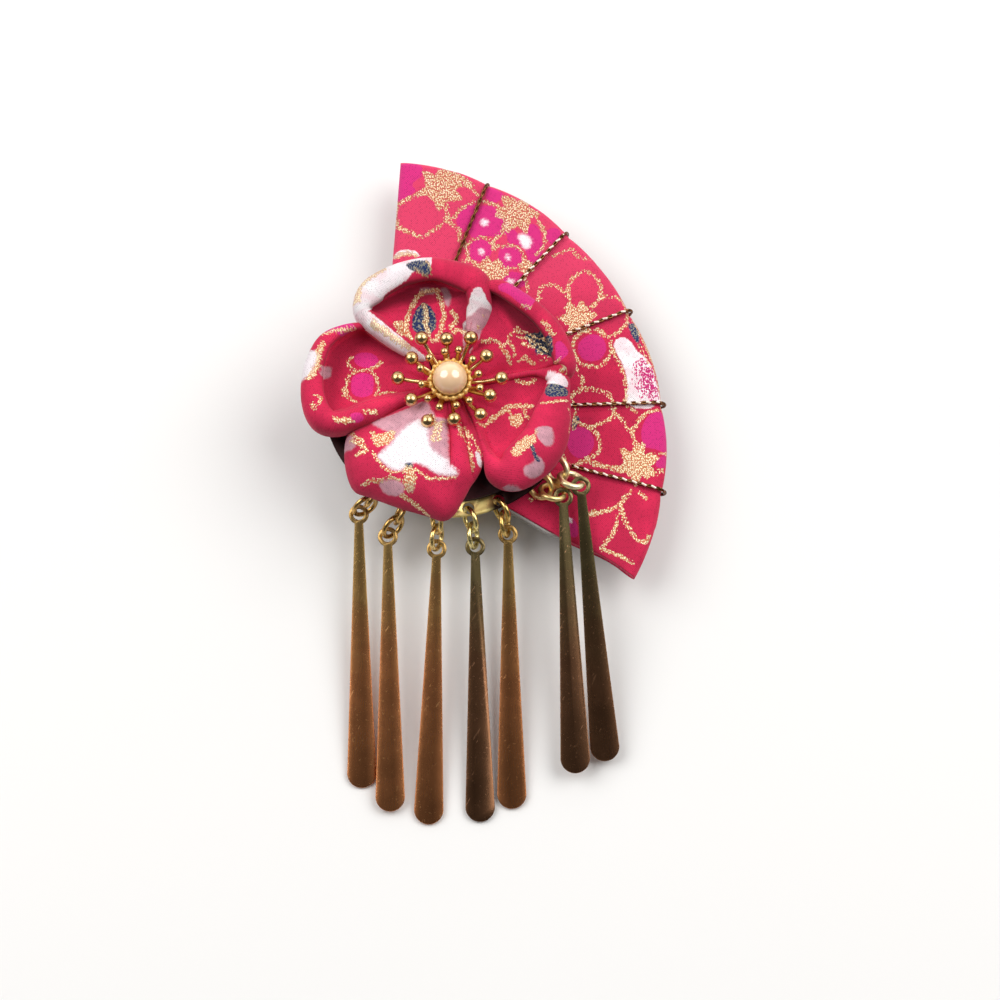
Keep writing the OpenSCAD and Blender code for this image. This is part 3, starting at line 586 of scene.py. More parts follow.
def printed_cloth(name, settings, depth=1.0, fade=0.0):
    """Crimson cotton with inks laid on it: signed distances in millimetres come from the mesh. The
    ground may fade to rose up the cloth, and a depth above 1 brightens it as painted light. A
    field of the mesh darkens it with painted shade, and brightens it with painted light where
    that field is below 0."""
    material, g = finish_of(name)
    where = g.field("cloth", 1)
    pitch = settings.thread / MM
    wobble = g.noise(where, 1.3, 1.0, 1)
    bent = g.add("ShaderNodeVectorMath", {"operation": "MULTIPLY_ADD"},
                 {0: wobble, 1: (0.22, 0.22, 0.0), 2: where})
    turn = 2 * math.pi / pitch
    split = g.add("ShaderNodeSeparateXYZ", {}, {0: g.scaled(bent, (turn, turn, turn))})
    across = split.output(1)
    weave = (split.sine() * across.sine()) * 0.5 + 0.5
    cells = g.add("ShaderNodeTexVoronoi", {"voronoi_dimensions": "2D"},
                  {"Vector": g.scaled(where, (1.2, 0.8, 1.0)), "Scale": 2.9})
    chance = g.add("ShaderNodeSeparateColor", {}, {0: cells.output(1)})
    edge = (g.noise(where, 1.6, 2.0) - 0.5) * 0.5
    soft = g.noise(where, 0.14, 2.0)
    crimson, pink = tinted(settings.crimson, depth), tinted(settings.pink, depth)
    ground = g.mix(soft.step(0.35, 0.7), tinted(crimson, 0.86), tinted(crimson, 1.10))
    high = (across / turn).step(4.0, 34.0)
    ground = g.mix(high * fade, ground, settings.rose)
    ground = g.mix((g.field("pink") + edge * 0.6).step(0.08, -0.08), ground, pink)
    pale = g.mix(g.noise(where, 0.35, 3.0).step(0.38, 0.62),
                 tinted(settings.pale, (1.03, 1.05, 1.06)),
                 tinted(settings.pale, (0.97, 0.84, 0.88)))
    ground = g.mix((g.field("pale") + edge * 1.3).step(0.16, -0.16), ground, pale)
    mauve = g.mix(g.noise(where, 0.6, 3.0).step(0.35, 0.65),
                  tinted(settings.mauve, 0.9), tinted(settings.mauve, 1.1))
    ground = g.mix((g.field("mauve") + edge * 1.3).step(0.35, -0.3), ground, mauve)
    pepper = (g.noise(where, 2.2, 1.0) - 0.5) * 1.6
    stipple = (g.field("dots") + (chance - 0.5) * 2.6).step(0.1, -0.1) * cells.step(0.62, 0.5)
    ground = g.mix(stipple, ground, tinted(pink, 0.9))
    # The lightest ink is print, and on petal_top also a painted highlight.
    ground = g.mix((g.field("white") + pepper * 0.6).step(0.55, -0.45), ground, (0.95, 0.87, 0.92))
    dust = g.noise(where, 2.6, 2.0).step(0.50, 0.58) * 0.62
    blue = g.mix(dust, settings.navy, tinted(settings.gold, (0.5, 0.6, 0.7)))
    ground = g.mix((g.field("navy") + edge * 1.4).step(0.16, -0.16), ground, blue)
    specks = cells.step(0.34, 0.2) * chance.step(0.66, 0.74)
    # Weave and specks, darkened by the mesh's painted shade; where that field is below 0 it is
    # painted light.
    shade = (weave * 0.34 + 0.84 - specks * 0.36) * (1.0 - g.field("shaded") * 0.26)
    grey = g.add("ShaderNodeCombineColor", {}, {0: shade, 1: shade, 2: shade})
    ground = g.add("ShaderNodeMix", {"data_type": "RGBA", "blend_type": "MULTIPLY"},
                   {0: 1.0, 6: ground, 7: grey}, 2)

    laid = (g.field("gold") + (chance - 0.5) * 0.52 + edge * 0.5).step(0.05, -0.05)
    fleck = cells.step(0.47, 0.24)
    warm = g.mix(chance.step(0.3, 0.8), tinted(settings.gold, 0.8),
                 tinted(settings.gold, (1.1, 1.2, 1.5)))
    warm = g.mix((1.0 - high) * 0.8, warm, (1.0, 0.96, 0.64))
    cool = g.mix((1.0 - high) * 0.6, settings.gold_low, (0.80, 0.42, 0.15))
    metal = g.mix(fleck, cool, warm)
    gilded = laid * (fleck * 0.35 + 0.65)
    tone = g.mix(gilded, ground, metal)
    height = weave * 0.5 + gilded * 0.6 + fleck * laid * 0.5
    surface(g, tone, 0.86 - gilded * 0.44, gilded * 0.55, bump(g, height, 0.06, 0.75),
            Sheen_Weight=0.10, Sheen_Roughness=0.45, Specular_IOR_Level=0.22)
    return material


def gilt(name, shade, rough=0.2, painted_darkness=(), metallic=1.0, **more):
    """Bright gilt metal, with a fine grain, small pits and a slow change of colour. It may be
    painted near black from one place to another along X, once or more, as painted shade and a
    painted dark reflection."""
    material, g = finish_of(name)
    where = g.here()
    slow = g.noise(where, 120.0, 2.0)
    fine = g.noise(where, 4200.0, 3.0)
    pits = g.noise(where, 1500.0, 2.0).step(0.66, 0.74)
    tone = g.mix(slow.step(0.35, 0.65), tinted(shade, (0.90, 0.80, 0.66)), shade)
    tone = g.mix(pits * 0.5, tone, tinted(shade, 0.4))
    # Painted near black along X: painted shade and a painted dark reflection.
    if painted_darkness:
        across = g.add("ShaderNodeSeparateXYZ", {}, {0: where})
        for near, far in painted_darkness:
            tone = g.mix((across + (slow - 0.5) * 0.003).step(near, far), tone,
                         (0.02, 0.010, 0.010))
    surface(g, tone, (fine - 0.5) * 0.16 + rough + pits * 0.2, metallic,
            bump(g, fine * 0.2 + slow * 1.5 - pits * 0.4, 0.03, 0.5), **more)
    return material


def worn_reflecting_gilt(name, shade):
    """Polished strip metal with pale scuffs and scratches, painted olive at the top and redder
    below as a painted reflection.
    """
    material, g = finish_of(name)
    where = g.here()
    down = g.add("ShaderNodeSeparateXYZ", {}, {0: where}, 1)
    slow = g.noise(where, 160.0, 2.0)
    # Painted reflection: olive towards the top of the strip, redder lower down.
    low = (down + (slow - 0.5) * 0.02).step(-0.030, -0.056)
    tone = g.mix(low, tinted(shade, (0.66, 1.06, 0.96)), shade)
    grain = g.noise(g.scaled(where, (1.0, 0.10, 1.0)), 5000.0, 3.0)
    scuffs = g.noise(where, 2100.0, 3.0).step(0.64, 0.72)
    slant = g.add("ShaderNodeVectorRotate", {"rotation_type": "Z_AXIS"},
                  {"Vector": where, "Angle": 0.5})
    lines = g.noise(g.scaled(slant, (1.0, 0.06, 1.0)), 2600.0, 1.0).step(0.72, 0.76)
    marks = scuffs * 0.35 + lines * 0.3
    tone = g.mix(marks, tone, [min(1.0, c * 2.4 + 0.06) for c in shade])
    surface(g, tone, slow * 0.16 + 0.15 + grain * 0.08 + marks * 0.2, 1.0,
            bump(g, grain * 0.3 + slow * 4.0 - lines * 0.4, 0.03, 0.4))
    return material


# ---------------------------------------------------------------- meshes

def linked(name, data):
    """A new object in the scene."""
    thing = bpy.data.objects.new(name, data)
    bpy.context.scene.collection.objects.link(thing)
    return thing


def made_plain(piece, **options):
    """Keeps what a piece's modifiers make as its plain mesh."""
    depsgraph = bpy.context.evaluated_depsgraph_get()
    mesh = bpy.data.meshes.new_from_object(piece.evaluated_get(depsgraph), depsgraph=depsgraph,
                                           **options)
    piece.modifiers.clear()
    piece.data = mesh
    return mesh


def new_piece(name, points, faces, finish, fields=None, edges=()):
    """An object at the origin whose points are given in millimetres."""
    mesh = bpy.data.meshes.new(name)
    mesh.from_pydata((np.asarray(points, float) * MM).tolist(), list(edges),
                     np.asarray(faces).tolist() if len(faces) else [])
    for key, values in (fields or {}).items():
        values = np.asarray(values, np.float32)
        kind, slot_ = ("FLOAT", "value") if values.ndim == 1 else ("FLOAT_VECTOR", "vector")
        mesh.attributes.new(key, kind, "POINT").data.foreach_set(slot_, values.ravel())
    mesh.materials.append(finish)
    if len(faces):
        mesh.shade_smooth()
    return linked(name, mesh)


def place(piece, slot_, *nodes):
    """Rides a piece on the part, in place of some of its nodes."""
    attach(piece, ROOT)
    if nodes:
        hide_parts(*nodes)


def skin_faces(rows, columns, looped=False):
    """Faces of a closed skin between an upper and a lower grid of points. A looped grid runs round
    from its last row to its first, and its first column is one point."""
    grid = np.arange(rows * columns).reshape(rows, columns)
    low = rows * columns
    if looped:
        grid = np.vstack([grid, grid[:1]])
    upper = np.stack([grid[:-1, :-1], grid[:-1, 1:], grid[1:, 1:], grid[1:, :-1]],
                     -1).reshape(-1, 4)
    ends = [(grid[:-1, -1], grid[1:, -1])]
    if not looped:
        ends += [(grid[0, :-1], grid[0, 1:]), (grid[-1, 1:], grid[-1, :-1]),
                 (grid[1:, 0], grid[:-1, 0])]
    start, end = (np.concatenate(part) for part in zip(*ends))
    side = np.stack([end, start, start + low, end + low], -1)
    return np.concatenate([upper, upper[:, ::-1] + low, side])


def grid_normals(grid):
    down = np.gradient(grid, axis=0)
    right = np.gradient(grid, axis=1)
    normal = np.cross(right, down)
    return normal / np.maximum(np.linalg.norm(normal, axis=2, keepdims=True), 1e-9)


def smooth_line(points, count, closed=False):
    """Evenly spaced points on a smooth curve through a few given ones."""
    given = np.asarray(points, float)
    if closed:
        ends = np.vstack([given[-1:], given, given[:2]])
    else:
        ends = np.vstack([2 * given[:1] - given[1:2], given, 2 * given[-1:] - given[-2:-1]])
    t = np.linspace(0, 1, 12, endpoint=False)[:, None]
    fine = [0.5 * (2 * b + (c - a) * t + (2 * a - 5 * b + 4 * c - d) * t ** 2
                   + (3 * b - a - 3 * c + d) * t ** 3)
            for a, b, c, d in zip(ends, ends[1:], ends[2:], ends[3:])]
    fine = np.vstack(fine + [ends[-2:-1]])
    run = np.r_[0, np.cumsum(np.linalg.norm(np.diff(fine, axis=0), axis=1))]
    at = np.linspace(0, run[-1], count)
    return np.column_stack([np.interp(at, run, column) for column in fine.T])


def soft_noise(points, size, seed):
    """Smooth noise from -1 to 1, with features about size millimetres across."""
    lattice = np.random.default_rng(seed).uniform(-1, 1, (24, 24, 24))
    at = np.asarray(points, float) / size + 200
    cell = np.floor(at).astype(int)
    part = at - cell
    part = part * part * (3 - 2 * part)
    total = 0
    for corner in np.ndindex(2, 2, 2):
        weight = np.prod(np.where(np.array(corner) == 1, part, 1 - part), axis=-1)
        index = (cell + corner) % 24
        total = total + weight * lattice[index[..., 0], index[..., 1], index[..., 2]]
    return total


# ---------------------------------------------------------------- print

def motif_distance(motif, at):
    """Signed distance in millimetres from each point to a motif, less than 0 inside."""
    points = np.array(motif.points)
    if motif.shape == "star":
        away = at - points[0]
        turn = np.arctan2(away[:, 1], away[:, 0])
        reach = motif.width * (0.74 + 0.17 * np.cos(6 * turn + points[0][0])
                               + 0.09 * np.cos(11 * turn + points[0][1]))
        return np.hypot(*away.T) - reach
    closed = motif.shape == "patch"
    line = smooth_line(points, max(10, 7 * len(points)), closed)
    best = np.full(len(at), FAR ** 2)
    inside = np.zeros(len(at), bool)
    near = ((at > line.min(0) - FAR / 3) & (at < line.max(0) + FAR / 3)).all(axis=1)
    spots = at[near]
    gap, within = best[near], inside[near]
    for a, b in zip(line, line[1:]):
        step = b - a
        share = np.clip(((spots - a) @ step) / max(step @ step, 1e-12), 0, 1)
        gap = np.minimum(gap, ((spots - a - share[:, None] * step) ** 2).sum(1))
        if closed and a[1] != b[1]:
            crosses = (a[1] > spots[:, 1]) != (b[1] > spots[:, 1])
            x = a[0] + (spots[:, 1] - a[1]) * step[0] / step[1]
            within = within ^ (crosses & (spots[:, 0] < x))
    best[near], inside[near] = gap, within
    distance = np.sqrt(best)
    return np.where(inside, -distance, distance) - motif.width / 2


def print_fields(motifs, at):
    """One field of signed distances for each ink, over cloth points in millimetres."""
    fields = {ink: np.full(len(at), FAR) for ink in INKS}
    for motif in motifs:
        fields[motif.ink] = np.minimum(fields[motif.ink], motif_distance(motif, at))
    return fields


# ---------------------------------------------------------------- fan

def polar(direction, radius):
    """Points at directions in degrees."""
    angle = np.radians(direction)
    return np.stack([np.cos(angle) * radius, np.sin(angle) * radius], -1)


def fan_rim(direction):
    """Distance from the fan's apex to its outer edge."""
    gap = FAN_APEX - FAN_CENTRE
    along = polar(direction, 1.0) @ gap
    return -along + np.sqrt(along ** 2 - gap @ gap + FAN_ARC_R ** 2)


def fan_columns(steps):
    """Directions across the fan, close together beside the cords, and each one's swell."""
    share = np.arange(steps) / steps
    share = share - 0.62 * np.sin(2 * np.pi * share) / (2 * np.pi)
    swell = np.sin(np.pi * share)
    turns = [a + (b - a) * share for a, b in zip(FAN_BORDERS, FAN_BORDERS[1:])]
    return (np.append(np.concatenate(turns), FAN_BORDERS[-1]),
            np.append(np.tile(swell, len(turns)), 0.0))


def fan_cover(settings):
    """The padded cloth face, rounded over the rim and the left edge."""
    turn, swell = fan_columns(34)
    turn = turn.copy()
    turn[0] += 0.25
    puff = swell ** 0.62
    at_cord = np.ones_like(puff)
    at_cord[:20] = at_cord[-20:] = 0.35
    rim = fan_rim(turn) + 0.55 * (puff - 0.72) * at_cord + 0.6 * np.clip((turn - 38) / 16, 0, 1)
    rounding = 1.25
    main = np.linspace(0, 1, 104)
    curl = np.radians(np.linspace(0, 90, 9)[1:])
    radius = np.concatenate([
        FAN_INNER + (rim[:, None] - rounding - FAN_INNER) * main[None, :],
        rim[:, None] - rounding + rounding * np.sin(curl)[None, :]], axis=1)
    half = (FAN_TOP - FAN_Z) / 2
    over_rim = np.sqrt(np.clip(
        1 - (np.clip(radius - (rim[:, None] - rounding), 0, None) / rounding) ** 2, 0, 1))
    left = radius * np.sin(np.radians(np.minimum(90, FAN_BORDERS[-1] - turn)))[:, None]
    over_left = np.sqrt(np.clip(1 - (np.clip(rounding - left, 0, None) / rounding) ** 2, 0, 1))
    low_gap = radius * np.sin(np.radians(np.minimum(90, turn - FAN_BORDERS[0])))[:, None]
    over_low = 1 - 0.16 * np.clip(1 - low_gap / 0.8, 0, 1) ** 2
    flat = FAN_APEX + polar(turn[:, None] + 0 * radius, radius)
    drawn = 0.95 * np.exp(-((radius - 51) / 6.5) ** 2) * np.clip(1 - low_gap / 7, 0, 1) ** 2
    flat = flat + polar(FAN_BORDERS[0] + 90, 1.0) * drawn[..., None]
    leaned = 0.75 * np.clip((radius - 26) / 30, 0, 1) * np.clip(1 - left / 9, 0, 1) ** 2
    flat[..., 0] -= leaned
    inner = np.clip((radius - FAN_INNER) / 12, 0, 1)
    ease = np.clip((rim[:, None] - radius) / 5, 0, 1) ** 0.6
    rise = settings.swell / MM * puff[:, None] * inner * (0.35 + 0.65 * ease)
    spot = np.dstack([flat, np.zeros_like(radius)])
    gather = np.exp(-((rim[:, None] - radius) / 4.5) ** 2) * (1 - swell[:, None]) ** 3
    rise = rise + 0.07 * soft_noise(spot, 5.5, 3) + 0.16 * gather * soft_noise(spot, 1.6, 4)
    middle = FAN_Z + half
    cover = over_rim * over_left
    top = np.dstack([flat, middle + half * cover * over_low + rise * cover])
    bottom = np.dstack([flat, middle - (half - 0.4 * np.clip((rim[:, None] - radius - 2.5) / 1.5,
                                                             0, 1)) * cover])
    points = np.concatenate([top.reshape(-1, 3), bottom.reshape(-1, 3)])
    past = np.where(radius > rim[:, None] - rounding,
                    rounding * (1.571 - np.arccos(np.clip(
                        (radius - rim[:, None] + rounding) / rounding, 0, 1))), 0)
    flat_radius = np.where(past > 0, rim[:, None] - rounding + past, radius)
    cloth = FAN_APEX + polar(turn[:, None] + 0 * radius, flat_radius)
    return points, skin_faces(*radius.shape), cloth.reshape(-1, 2)


def welded(piece, gap_mm=0.002):
    """Merges a piece's doubled points and turns its faces outwards."""
    work = bmesh.new()
    work.from_mesh(piece.data)
    bmesh.ops.remove_doubles(work, verts=work.verts, dist=gap_mm * MM)
    bmesh.ops.dissolve_degenerate(work, edges=work.edges, dist=gap_mm * MM / 4)
    bmesh.ops.recalc_face_normals(work, faces=work.faces)
    work.to_mesh(piece.data)
    work.free()


class BARRETTE_OT_fan_cover(bpy.types.Operator):
    """Make the fan's padded, printed cloth cover"""
    bl_idname = "barrette.fan_cover"
    bl_label = "Fan cover"

    def execute(self, context):
        settings = context.scene.barrette_cloth
        points, faces, cloth = fan_cover(settings)
        fields = {ink: np.tile(values, 2)
                  for ink, values in print_fields(FAN_PRINT, cloth).items()}
        fields["cloth"] = np.tile(np.column_stack([cloth, np.zeros(len(cloth))]), (2, 1))
        material = printed_cloth("fan_print", settings, fade=0.8)
        piece = new_piece("fan_cloth", points, faces, material, fields)
        welded(piece)
        place(piece, "fan_cloth", "fan_body")
        return {"FINISHED"}


class BARRETTE_OT_fan_lining(bpy.types.Operator):
    """Make the grey card behind the fan, turned up along the lower edge"""
    bl_idname = "barrette.fan_lining"
    bl_label = "Fan lining"

    def execute(self, context):
        thick, reach = 0.38, np.linspace(0, 1, 60)
        back = np.linspace(82.5, FAN_BORDERS[0] + 0.6, 80)
        up = np.linspace(0, 1, 7)
        turn = np.append(back, np.full(len(up), FAN_BORDERS[0] + 0.1))
        rise = np.append(np.zeros(len(back)), up)
        inset = 0.35 + 3.2 * np.clip((turn - FAN_BORDERS[0]) / 6, 0, 1)
        radius = 8 + (fan_rim(turn) - inset - 8)[:, None] * reach[None, :]
        flat = FAN_APEX + polar(turn[:, None] + 0 * radius, radius)
        out = polar(FAN_BORDERS[0] - 90, 1.0)
        curve = np.sin(np.clip(rise * 3, 0, 1) * math.pi / 2)
        near = np.clip((45 - radius) / 6, 0, 1)
        flat = flat + out * (0.16 * curve[:, None] * near)[..., None]
        flat -= out * (1.5 * (1 - near) * np.clip(1 - (turn - FAN_BORDERS[0]) / 6, 0, 1)[:, None]
                       )[..., None]
        low = FAN_Z + thick / 2
        height = low + rise[:, None] * (FAN_TOP - 0.3 - low) * near
        spot = np.dstack([flat, height])
        spot = spot + 0.05 * soft_noise(spot, 7.0, 8)[..., None]
        normal = grid_normals(spot)
        points = np.concatenate([(spot + normal * thick / 2).reshape(-1, 3),
                                 (spot - normal * thick / 2).reshape(-1, 3)])
        material, g = finish_of("grey_card")
        where = g.here()
        fibre = g.noise(g.scaled(where, (1.0, 0.3, 1.0)), 2600.0, 4.0)
        cloud = g.noise(where, 160.0, 3.0)
        tone = g.mix(cloud.step(0.3, 0.7), (0.30, 0.285, 0.28), (0.42, 0.40, 0.385))
        tone = g.mix(fibre.step(0.55, 0.75) * 0.5, tone, (0.56, 0.54, 0.52))
        surface(g, tone, 0.9 - fibre * 0.1, 0.0, bump(g, fibre, 0.06, 0.6))
        piece = new_piece("fan_lining", points, skin_faces(*radius.shape), material)
        welded(piece)
        place(piece, "backing")
        return {"FINISHED"}


# ---------------------------------------------------------------- grown pieces

def growth(name, inputs):
    """An empty Geometry Nodes tree with named inputs, and its ends."""
    tree = bpy.data.node_groups.new(name, "GeometryNodeTree")
    tree.interface.new_socket("Geometry", in_out="INPUT", socket_type="NodeSocketGeometry")
    for label, kind in inputs:
        tree.interface.new_socket(label, in_out="INPUT", socket_type="NodeSocket" + kind)
    tree.interface.new_socket("Geometry", in_out="OUTPUT", socket_type="NodeSocketGeometry")
    graph = Graph(tree)
    start = tree.nodes.new("NodeGroupInput")
    ends = {socket.name: Link(graph, socket) for socket in start.outputs if socket.name}
    return graph, ends


def grown(piece, graph, values, finish):
    """Runs a tree on a piece and keeps the result as its plain mesh."""
    modifier = piece.modifiers.new("growth", "NODES")
    modifier.node_group = graph.tree
    for item in graph.tree.interface.items_tree:
        if item.in_out == "INPUT" and item.name in values:
            modifier[item.identifier] = values[item.name]
    mesh = made_plain(piece, preserve_all_data_layers=True)
    if not len(mesh.polygons):
        raise RuntimeError(f"{piece.name}: nothing was made")
    if not mesh.materials:
        mesh.materials.append(finish)


def end_growth(graph, geometry, finish):
    """Every tree ends in plain faces with their finish."""
    real = graph.add("GeometryNodeRealizeInstances", {}, {0: geometry})
    smooth = graph.add("GeometryNodeSetShadeSmooth", {}, {0: real})
    dressed = graph.add("GeometryNodeSetMaterial", {}, {0: smooth, "Material": finish})
    graph.add("NodeGroupOutput", {}, {0: dressed})


def twisted_cord_tree(finish):
    """Two strands twisted round each other along a line."""
    g, ends = growth("twisted_cord", [("Ply", "Float"), ("Lay", "Float")])
    line = g.add("GeometryNodeMeshToCurve", {}, {0: ends["Geometry"]})
    even = g.add("GeometryNodeResampleCurve", {"mode": "LENGTH"},
                 {0: line, "Length": ends["Lay"] * 0.075})
    run = g.add("GeometryNodeSplineParameter", {}, {}, 1)
    tangent = g.add("GeometryNodeInputTangent")
    normal = g.add("GeometryNodeInputNormal")
    beside = g.add("ShaderNodeVectorMath", {"operation": "CROSS_PRODUCT"},
                   {0: tangent, 1: normal})
    profile = g.add("GeometryNodeCurvePrimitiveCircle", {}, {"Resolution": 9,
                                                             "Radius": ends["Ply"]})
    strands = []
    for begin in (0.0, math.pi):
        angle = run / ends["Lay"] * (2 * math.pi) + begin
        out = [g.add("ShaderNodeVectorMath", {"operation": "SCALE"},
                     {0: way, "Scale": angle.math(part, angle) * ends["Ply"] * 0.82})
               for way, part in ((normal, "COSINE"), (beside, "SINE"))]
        shift = g.add("ShaderNodeVectorMath", {"operation": "ADD"}, {0: out[0], 1: out[1]})
        rise = g.add("ShaderNodeSeparateXYZ", {}, {0: shift}, 2)
        crest = (rise / ends["Ply"]).step(0.50, 0.76)
        marked = g.add("GeometryNodeStoreNamedAttribute", {"data_type": "FLOAT"},
                       {0: even, "Name": "crest", "Value": crest})
        wound = g.add("GeometryNodeSetPosition", {}, {0: marked, "Offset": shift})
        wound = g.add("GeometryNodeSetCurveRadius", {}, {0: wound, "Radius": crest * 0.6 + 0.78})
        strands.append(g.add("GeometryNodeCurveToMesh", {},
                             {0: wound, 1: profile, "Fill Caps": True}))
    end_growth(g, g.add("GeometryNodeJoinGeometry", {}, {0: strands}), finish)
    return g


def cord_path(cord):
    """The line of a cord: over the fan's face, round its rim and along its back."""
    rim = FAN_APEX + polar(cord.rim, fan_rim(cord.rim) - CORD_INSET)
    near = FAN_APEX + polar(cord.near, 30.0)
    way = (rim - near) / np.linalg.norm(rim - near)
    start = rim - way * (fan_rim(cord.rim) - cord.start)
    high, low = FAN_TOP + CORD_LIFT, FAN_Z - CORD_LIFT
    face = [np.append(start + (rim - way * CORD_TURN - start) * f, high)
            for f in np.linspace(0, 1, 12)[:-1]]
    bend = [np.append(rim + way * ((CORD_TURN + CORD_LIFT) * math.cos(a) - CORD_TURN),
                      (high + low) / 2 + (high - low) / 2 * math.sin(a))
            for a in np.radians(np.linspace(90, -90, 15))]
    return np.array(face + bend + [np.append(rim - way * CORD_TAIL, low)])


class BARRETTE_OT_fan_cords(bpy.types.Operator):
    """Make the five twisted cords that bind the fan"""
    bl_idname = "barrette.fan_cords"
    bl_label = "Fan cords"

    def execute(self, context):
        settings = context.scene.barrette_cord
        material, g = finish_of("metallic_thread")
        where = g.here()
        strand = g.noise(where, 2600.0, 2.0)
        slow = g.noise(where, 300.0, 2.0)
        tone = g.mix(strand.step(0.35, 0.65), tinted(settings.thread, 0.5),
                     tinted(settings.thread, 1.3))
        tone = g.mix(slow.step(0.45, 0.7) * 0.4, tone, (0.26, 0.12, 0.05))
        split = g.add("ShaderNodeSeparateXYZ", {}, {0: where})
        high = (FAN_TOP + CORD_LIFT) * MM + settings.ply
        # Painted glints: pale cream colour on the strand crests along the top of each cord, from X
        # 9 mm on.
        painted_glint = g.field("crest").step(0.25, 0.65)
        painted_glint = painted_glint * split.output(2).step(high - settings.ply, high - 0.3 * settings.ply)
        painted_glint = painted_glint * split.step(9 * MM, 15 * MM)
        tone = g.mix(painted_glint, tone, (1.0, 0.93, 0.80))
        surface(g, tone, 0.22 - strand * 0.1 + painted_glint * 0.2, 1.0 - painted_glint * 0.6,
                bump(g, strand, 0.02, 0.5))
        tree = twisted_cord_tree(material)
        for number, cord in enumerate(CORDS, 1):
            line = smooth_line(cord_path(cord), 60)
            edges = [(k, k + 1) for k in range(len(line) - 1)]
            piece = new_piece(f"gold_cord_{number}", line, [], material, edges=edges)
            grown(piece, tree, {"Ply": settings.ply, "Lay": settings.lay}, material)
            place(piece, "cord_gold", f"fan_cord_{number}")
        return {"FINISHED"}


# ---------------------------------------------------------------- petals

def smoothing(control, count):
    """Weights that turn the control rows of a section into evenly spaced rows on a smooth curve."""
    steps = np.linalg.norm(np.diff(control, axis=0), axis=-1).mean(axis=1)
    run = np.r_[0, np.cumsum(steps)]
    at = np.interp(np.linspace(0, run[-1], count), run, np.arange(len(run)))
    first = np.minimum(at.astype(int), len(run) - 2)
    t = at - first
    blend = np.stack([-t + 2 * t ** 2 - t ** 3, 2 - 5 * t ** 2 + 3 * t ** 3,
                      t + 4 * t ** 2 - 3 * t ** 3, t ** 3 - t ** 2], -1) / 2
    weights = np.zeros((count, len(run)))
    for shift in range(4):
        column = np.clip(first + shift - 1, 0, len(run) - 1)
        np.add.at(weights, (np.arange(count), column), blend[:, shift])
    return weights


def tucked_share(plan, out):
    """Where a cup's wall is tucked under its roll: 0 to 1 for each place round the rim."""
    away = plan / np.linalg.norm(plan, axis=1, keepdims=True)
    tucked = np.clip(0.6 * (out * away).sum(axis=1) + 0.5 * out[:, 1] + 0.32, 0, 1)
    return tucked ** 2 * (3 - 2 * tucked)


def cup_section(plan, half, top, out, inward, reach, lift):
    """Control rows from a cup's floor up its wall, over the rolled rim and down its outside. The
    wall is tucked under the roll on the far side of the flower, and slopes on the near side."""
    tucked = tucked_share(plan, out)
    floor = CLOTH_REST + lift * np.clip((np.linalg.norm(plan, axis=1) - 4) / 12, 0, 1)
    floor = np.clip(floor, 0.3, top - 0.8)
    middle = CLOTH_REST + 0.55 * lift
    rise = top - floor
    roll = np.minimum(0.85 * half + 0.12, 2.0)
    foot = np.minimum(0.7 * half + 0.2 + (0.9 - 0.65 * tucked) * rise, 0.66 * reach)
    tuck = np.minimum(2.6, 0.75 * half + 0.1)

    def blend(sloping, under):
        return sloping + (under - sloping) * tucked

    def rows(along_inward, along_out, height):
        spot = plan + inward * np.reshape(along_inward, (-1, 1)) \
            + out * np.reshape(along_out, (-1, 1))
        return np.column_stack([spot, np.broadcast_to(height, len(plan))])

    zero = 0 * half
    section = [rows(foot + (reach - foot) * (1 - t), zero,
                    middle + (floor - middle) * t ** 1.5 + 0.25 * t ** 2)
               for t in (0.0, 0.25, 0.5, 0.75, 0.92)]
    section += [
        rows(foot, zero, floor + 0.4),
        rows(blend(0.66, 0.32) * foot, blend(-0.2, 0.0) * half, floor + blend(0.16, 0.28) * rise),
        rows(blend(0.40, 0.06) * foot, blend(-0.42, 0.38) * half, blend(
            floor + 0.38 * rise, np.maximum(top - 2.4 * roll, floor + 0.46 * rise))),
        rows(blend(0.18, 0.0) * foot, blend(-0.8, 0.15) * half, blend(
            floor + 0.62 * rise, np.maximum(top - 1.85 * roll, floor + 0.58 * rise))),
        rows(zero, blend(-0.96, -0.66) * half, top - blend(0.95, 1.42) * roll),
        rows(zero, -half, top - blend(0.75, 0.92) * roll),
        rows(zero, -0.74 * half, top - 0.30 * roll),
        rows(zero, zero, top),
        rows(zero, 0.70 * half, top - 0.30 * roll),
        rows(zero, half, top - roll),
        rows(zero, half - 0.05, top - roll - 0.4 * (top - CLOTH_REST - roll)),
        rows(zero, half - 0.45 * tuck, CLOTH_REST + 0.12 * (top - CLOTH_REST)),
        rows(zero, half - tuck, zero + 0.45),
    ]
    return np.array(section)


def pouch_section(plan, half, top, out, inward, reach, crest):
    """Control rows from a closed petal's crest over its outside and under it."""
    def rows(share, along_out, height):
        spot = plan + inward * (reach * share)[:, None] + out * along_out
        return np.column_stack([spot, np.broadcast_to(height, len(plan))])

    section = [rows(1 - t + 0 * top, -0.3 * t, top + (crest - top) * (1 - t ** 2.4) ** 0.62)
               for t in (0.0, 0.2, 0.4, 0.58, 0.74, 0.87, 0.96, 1.0)]
    section += [rows(0 * top, -0.45, 0.62 * top), rows(0 * top, -1.0, 0.32 * top),
                rows(0 * top, -2.0, 0.42)]
    return np.array(section)


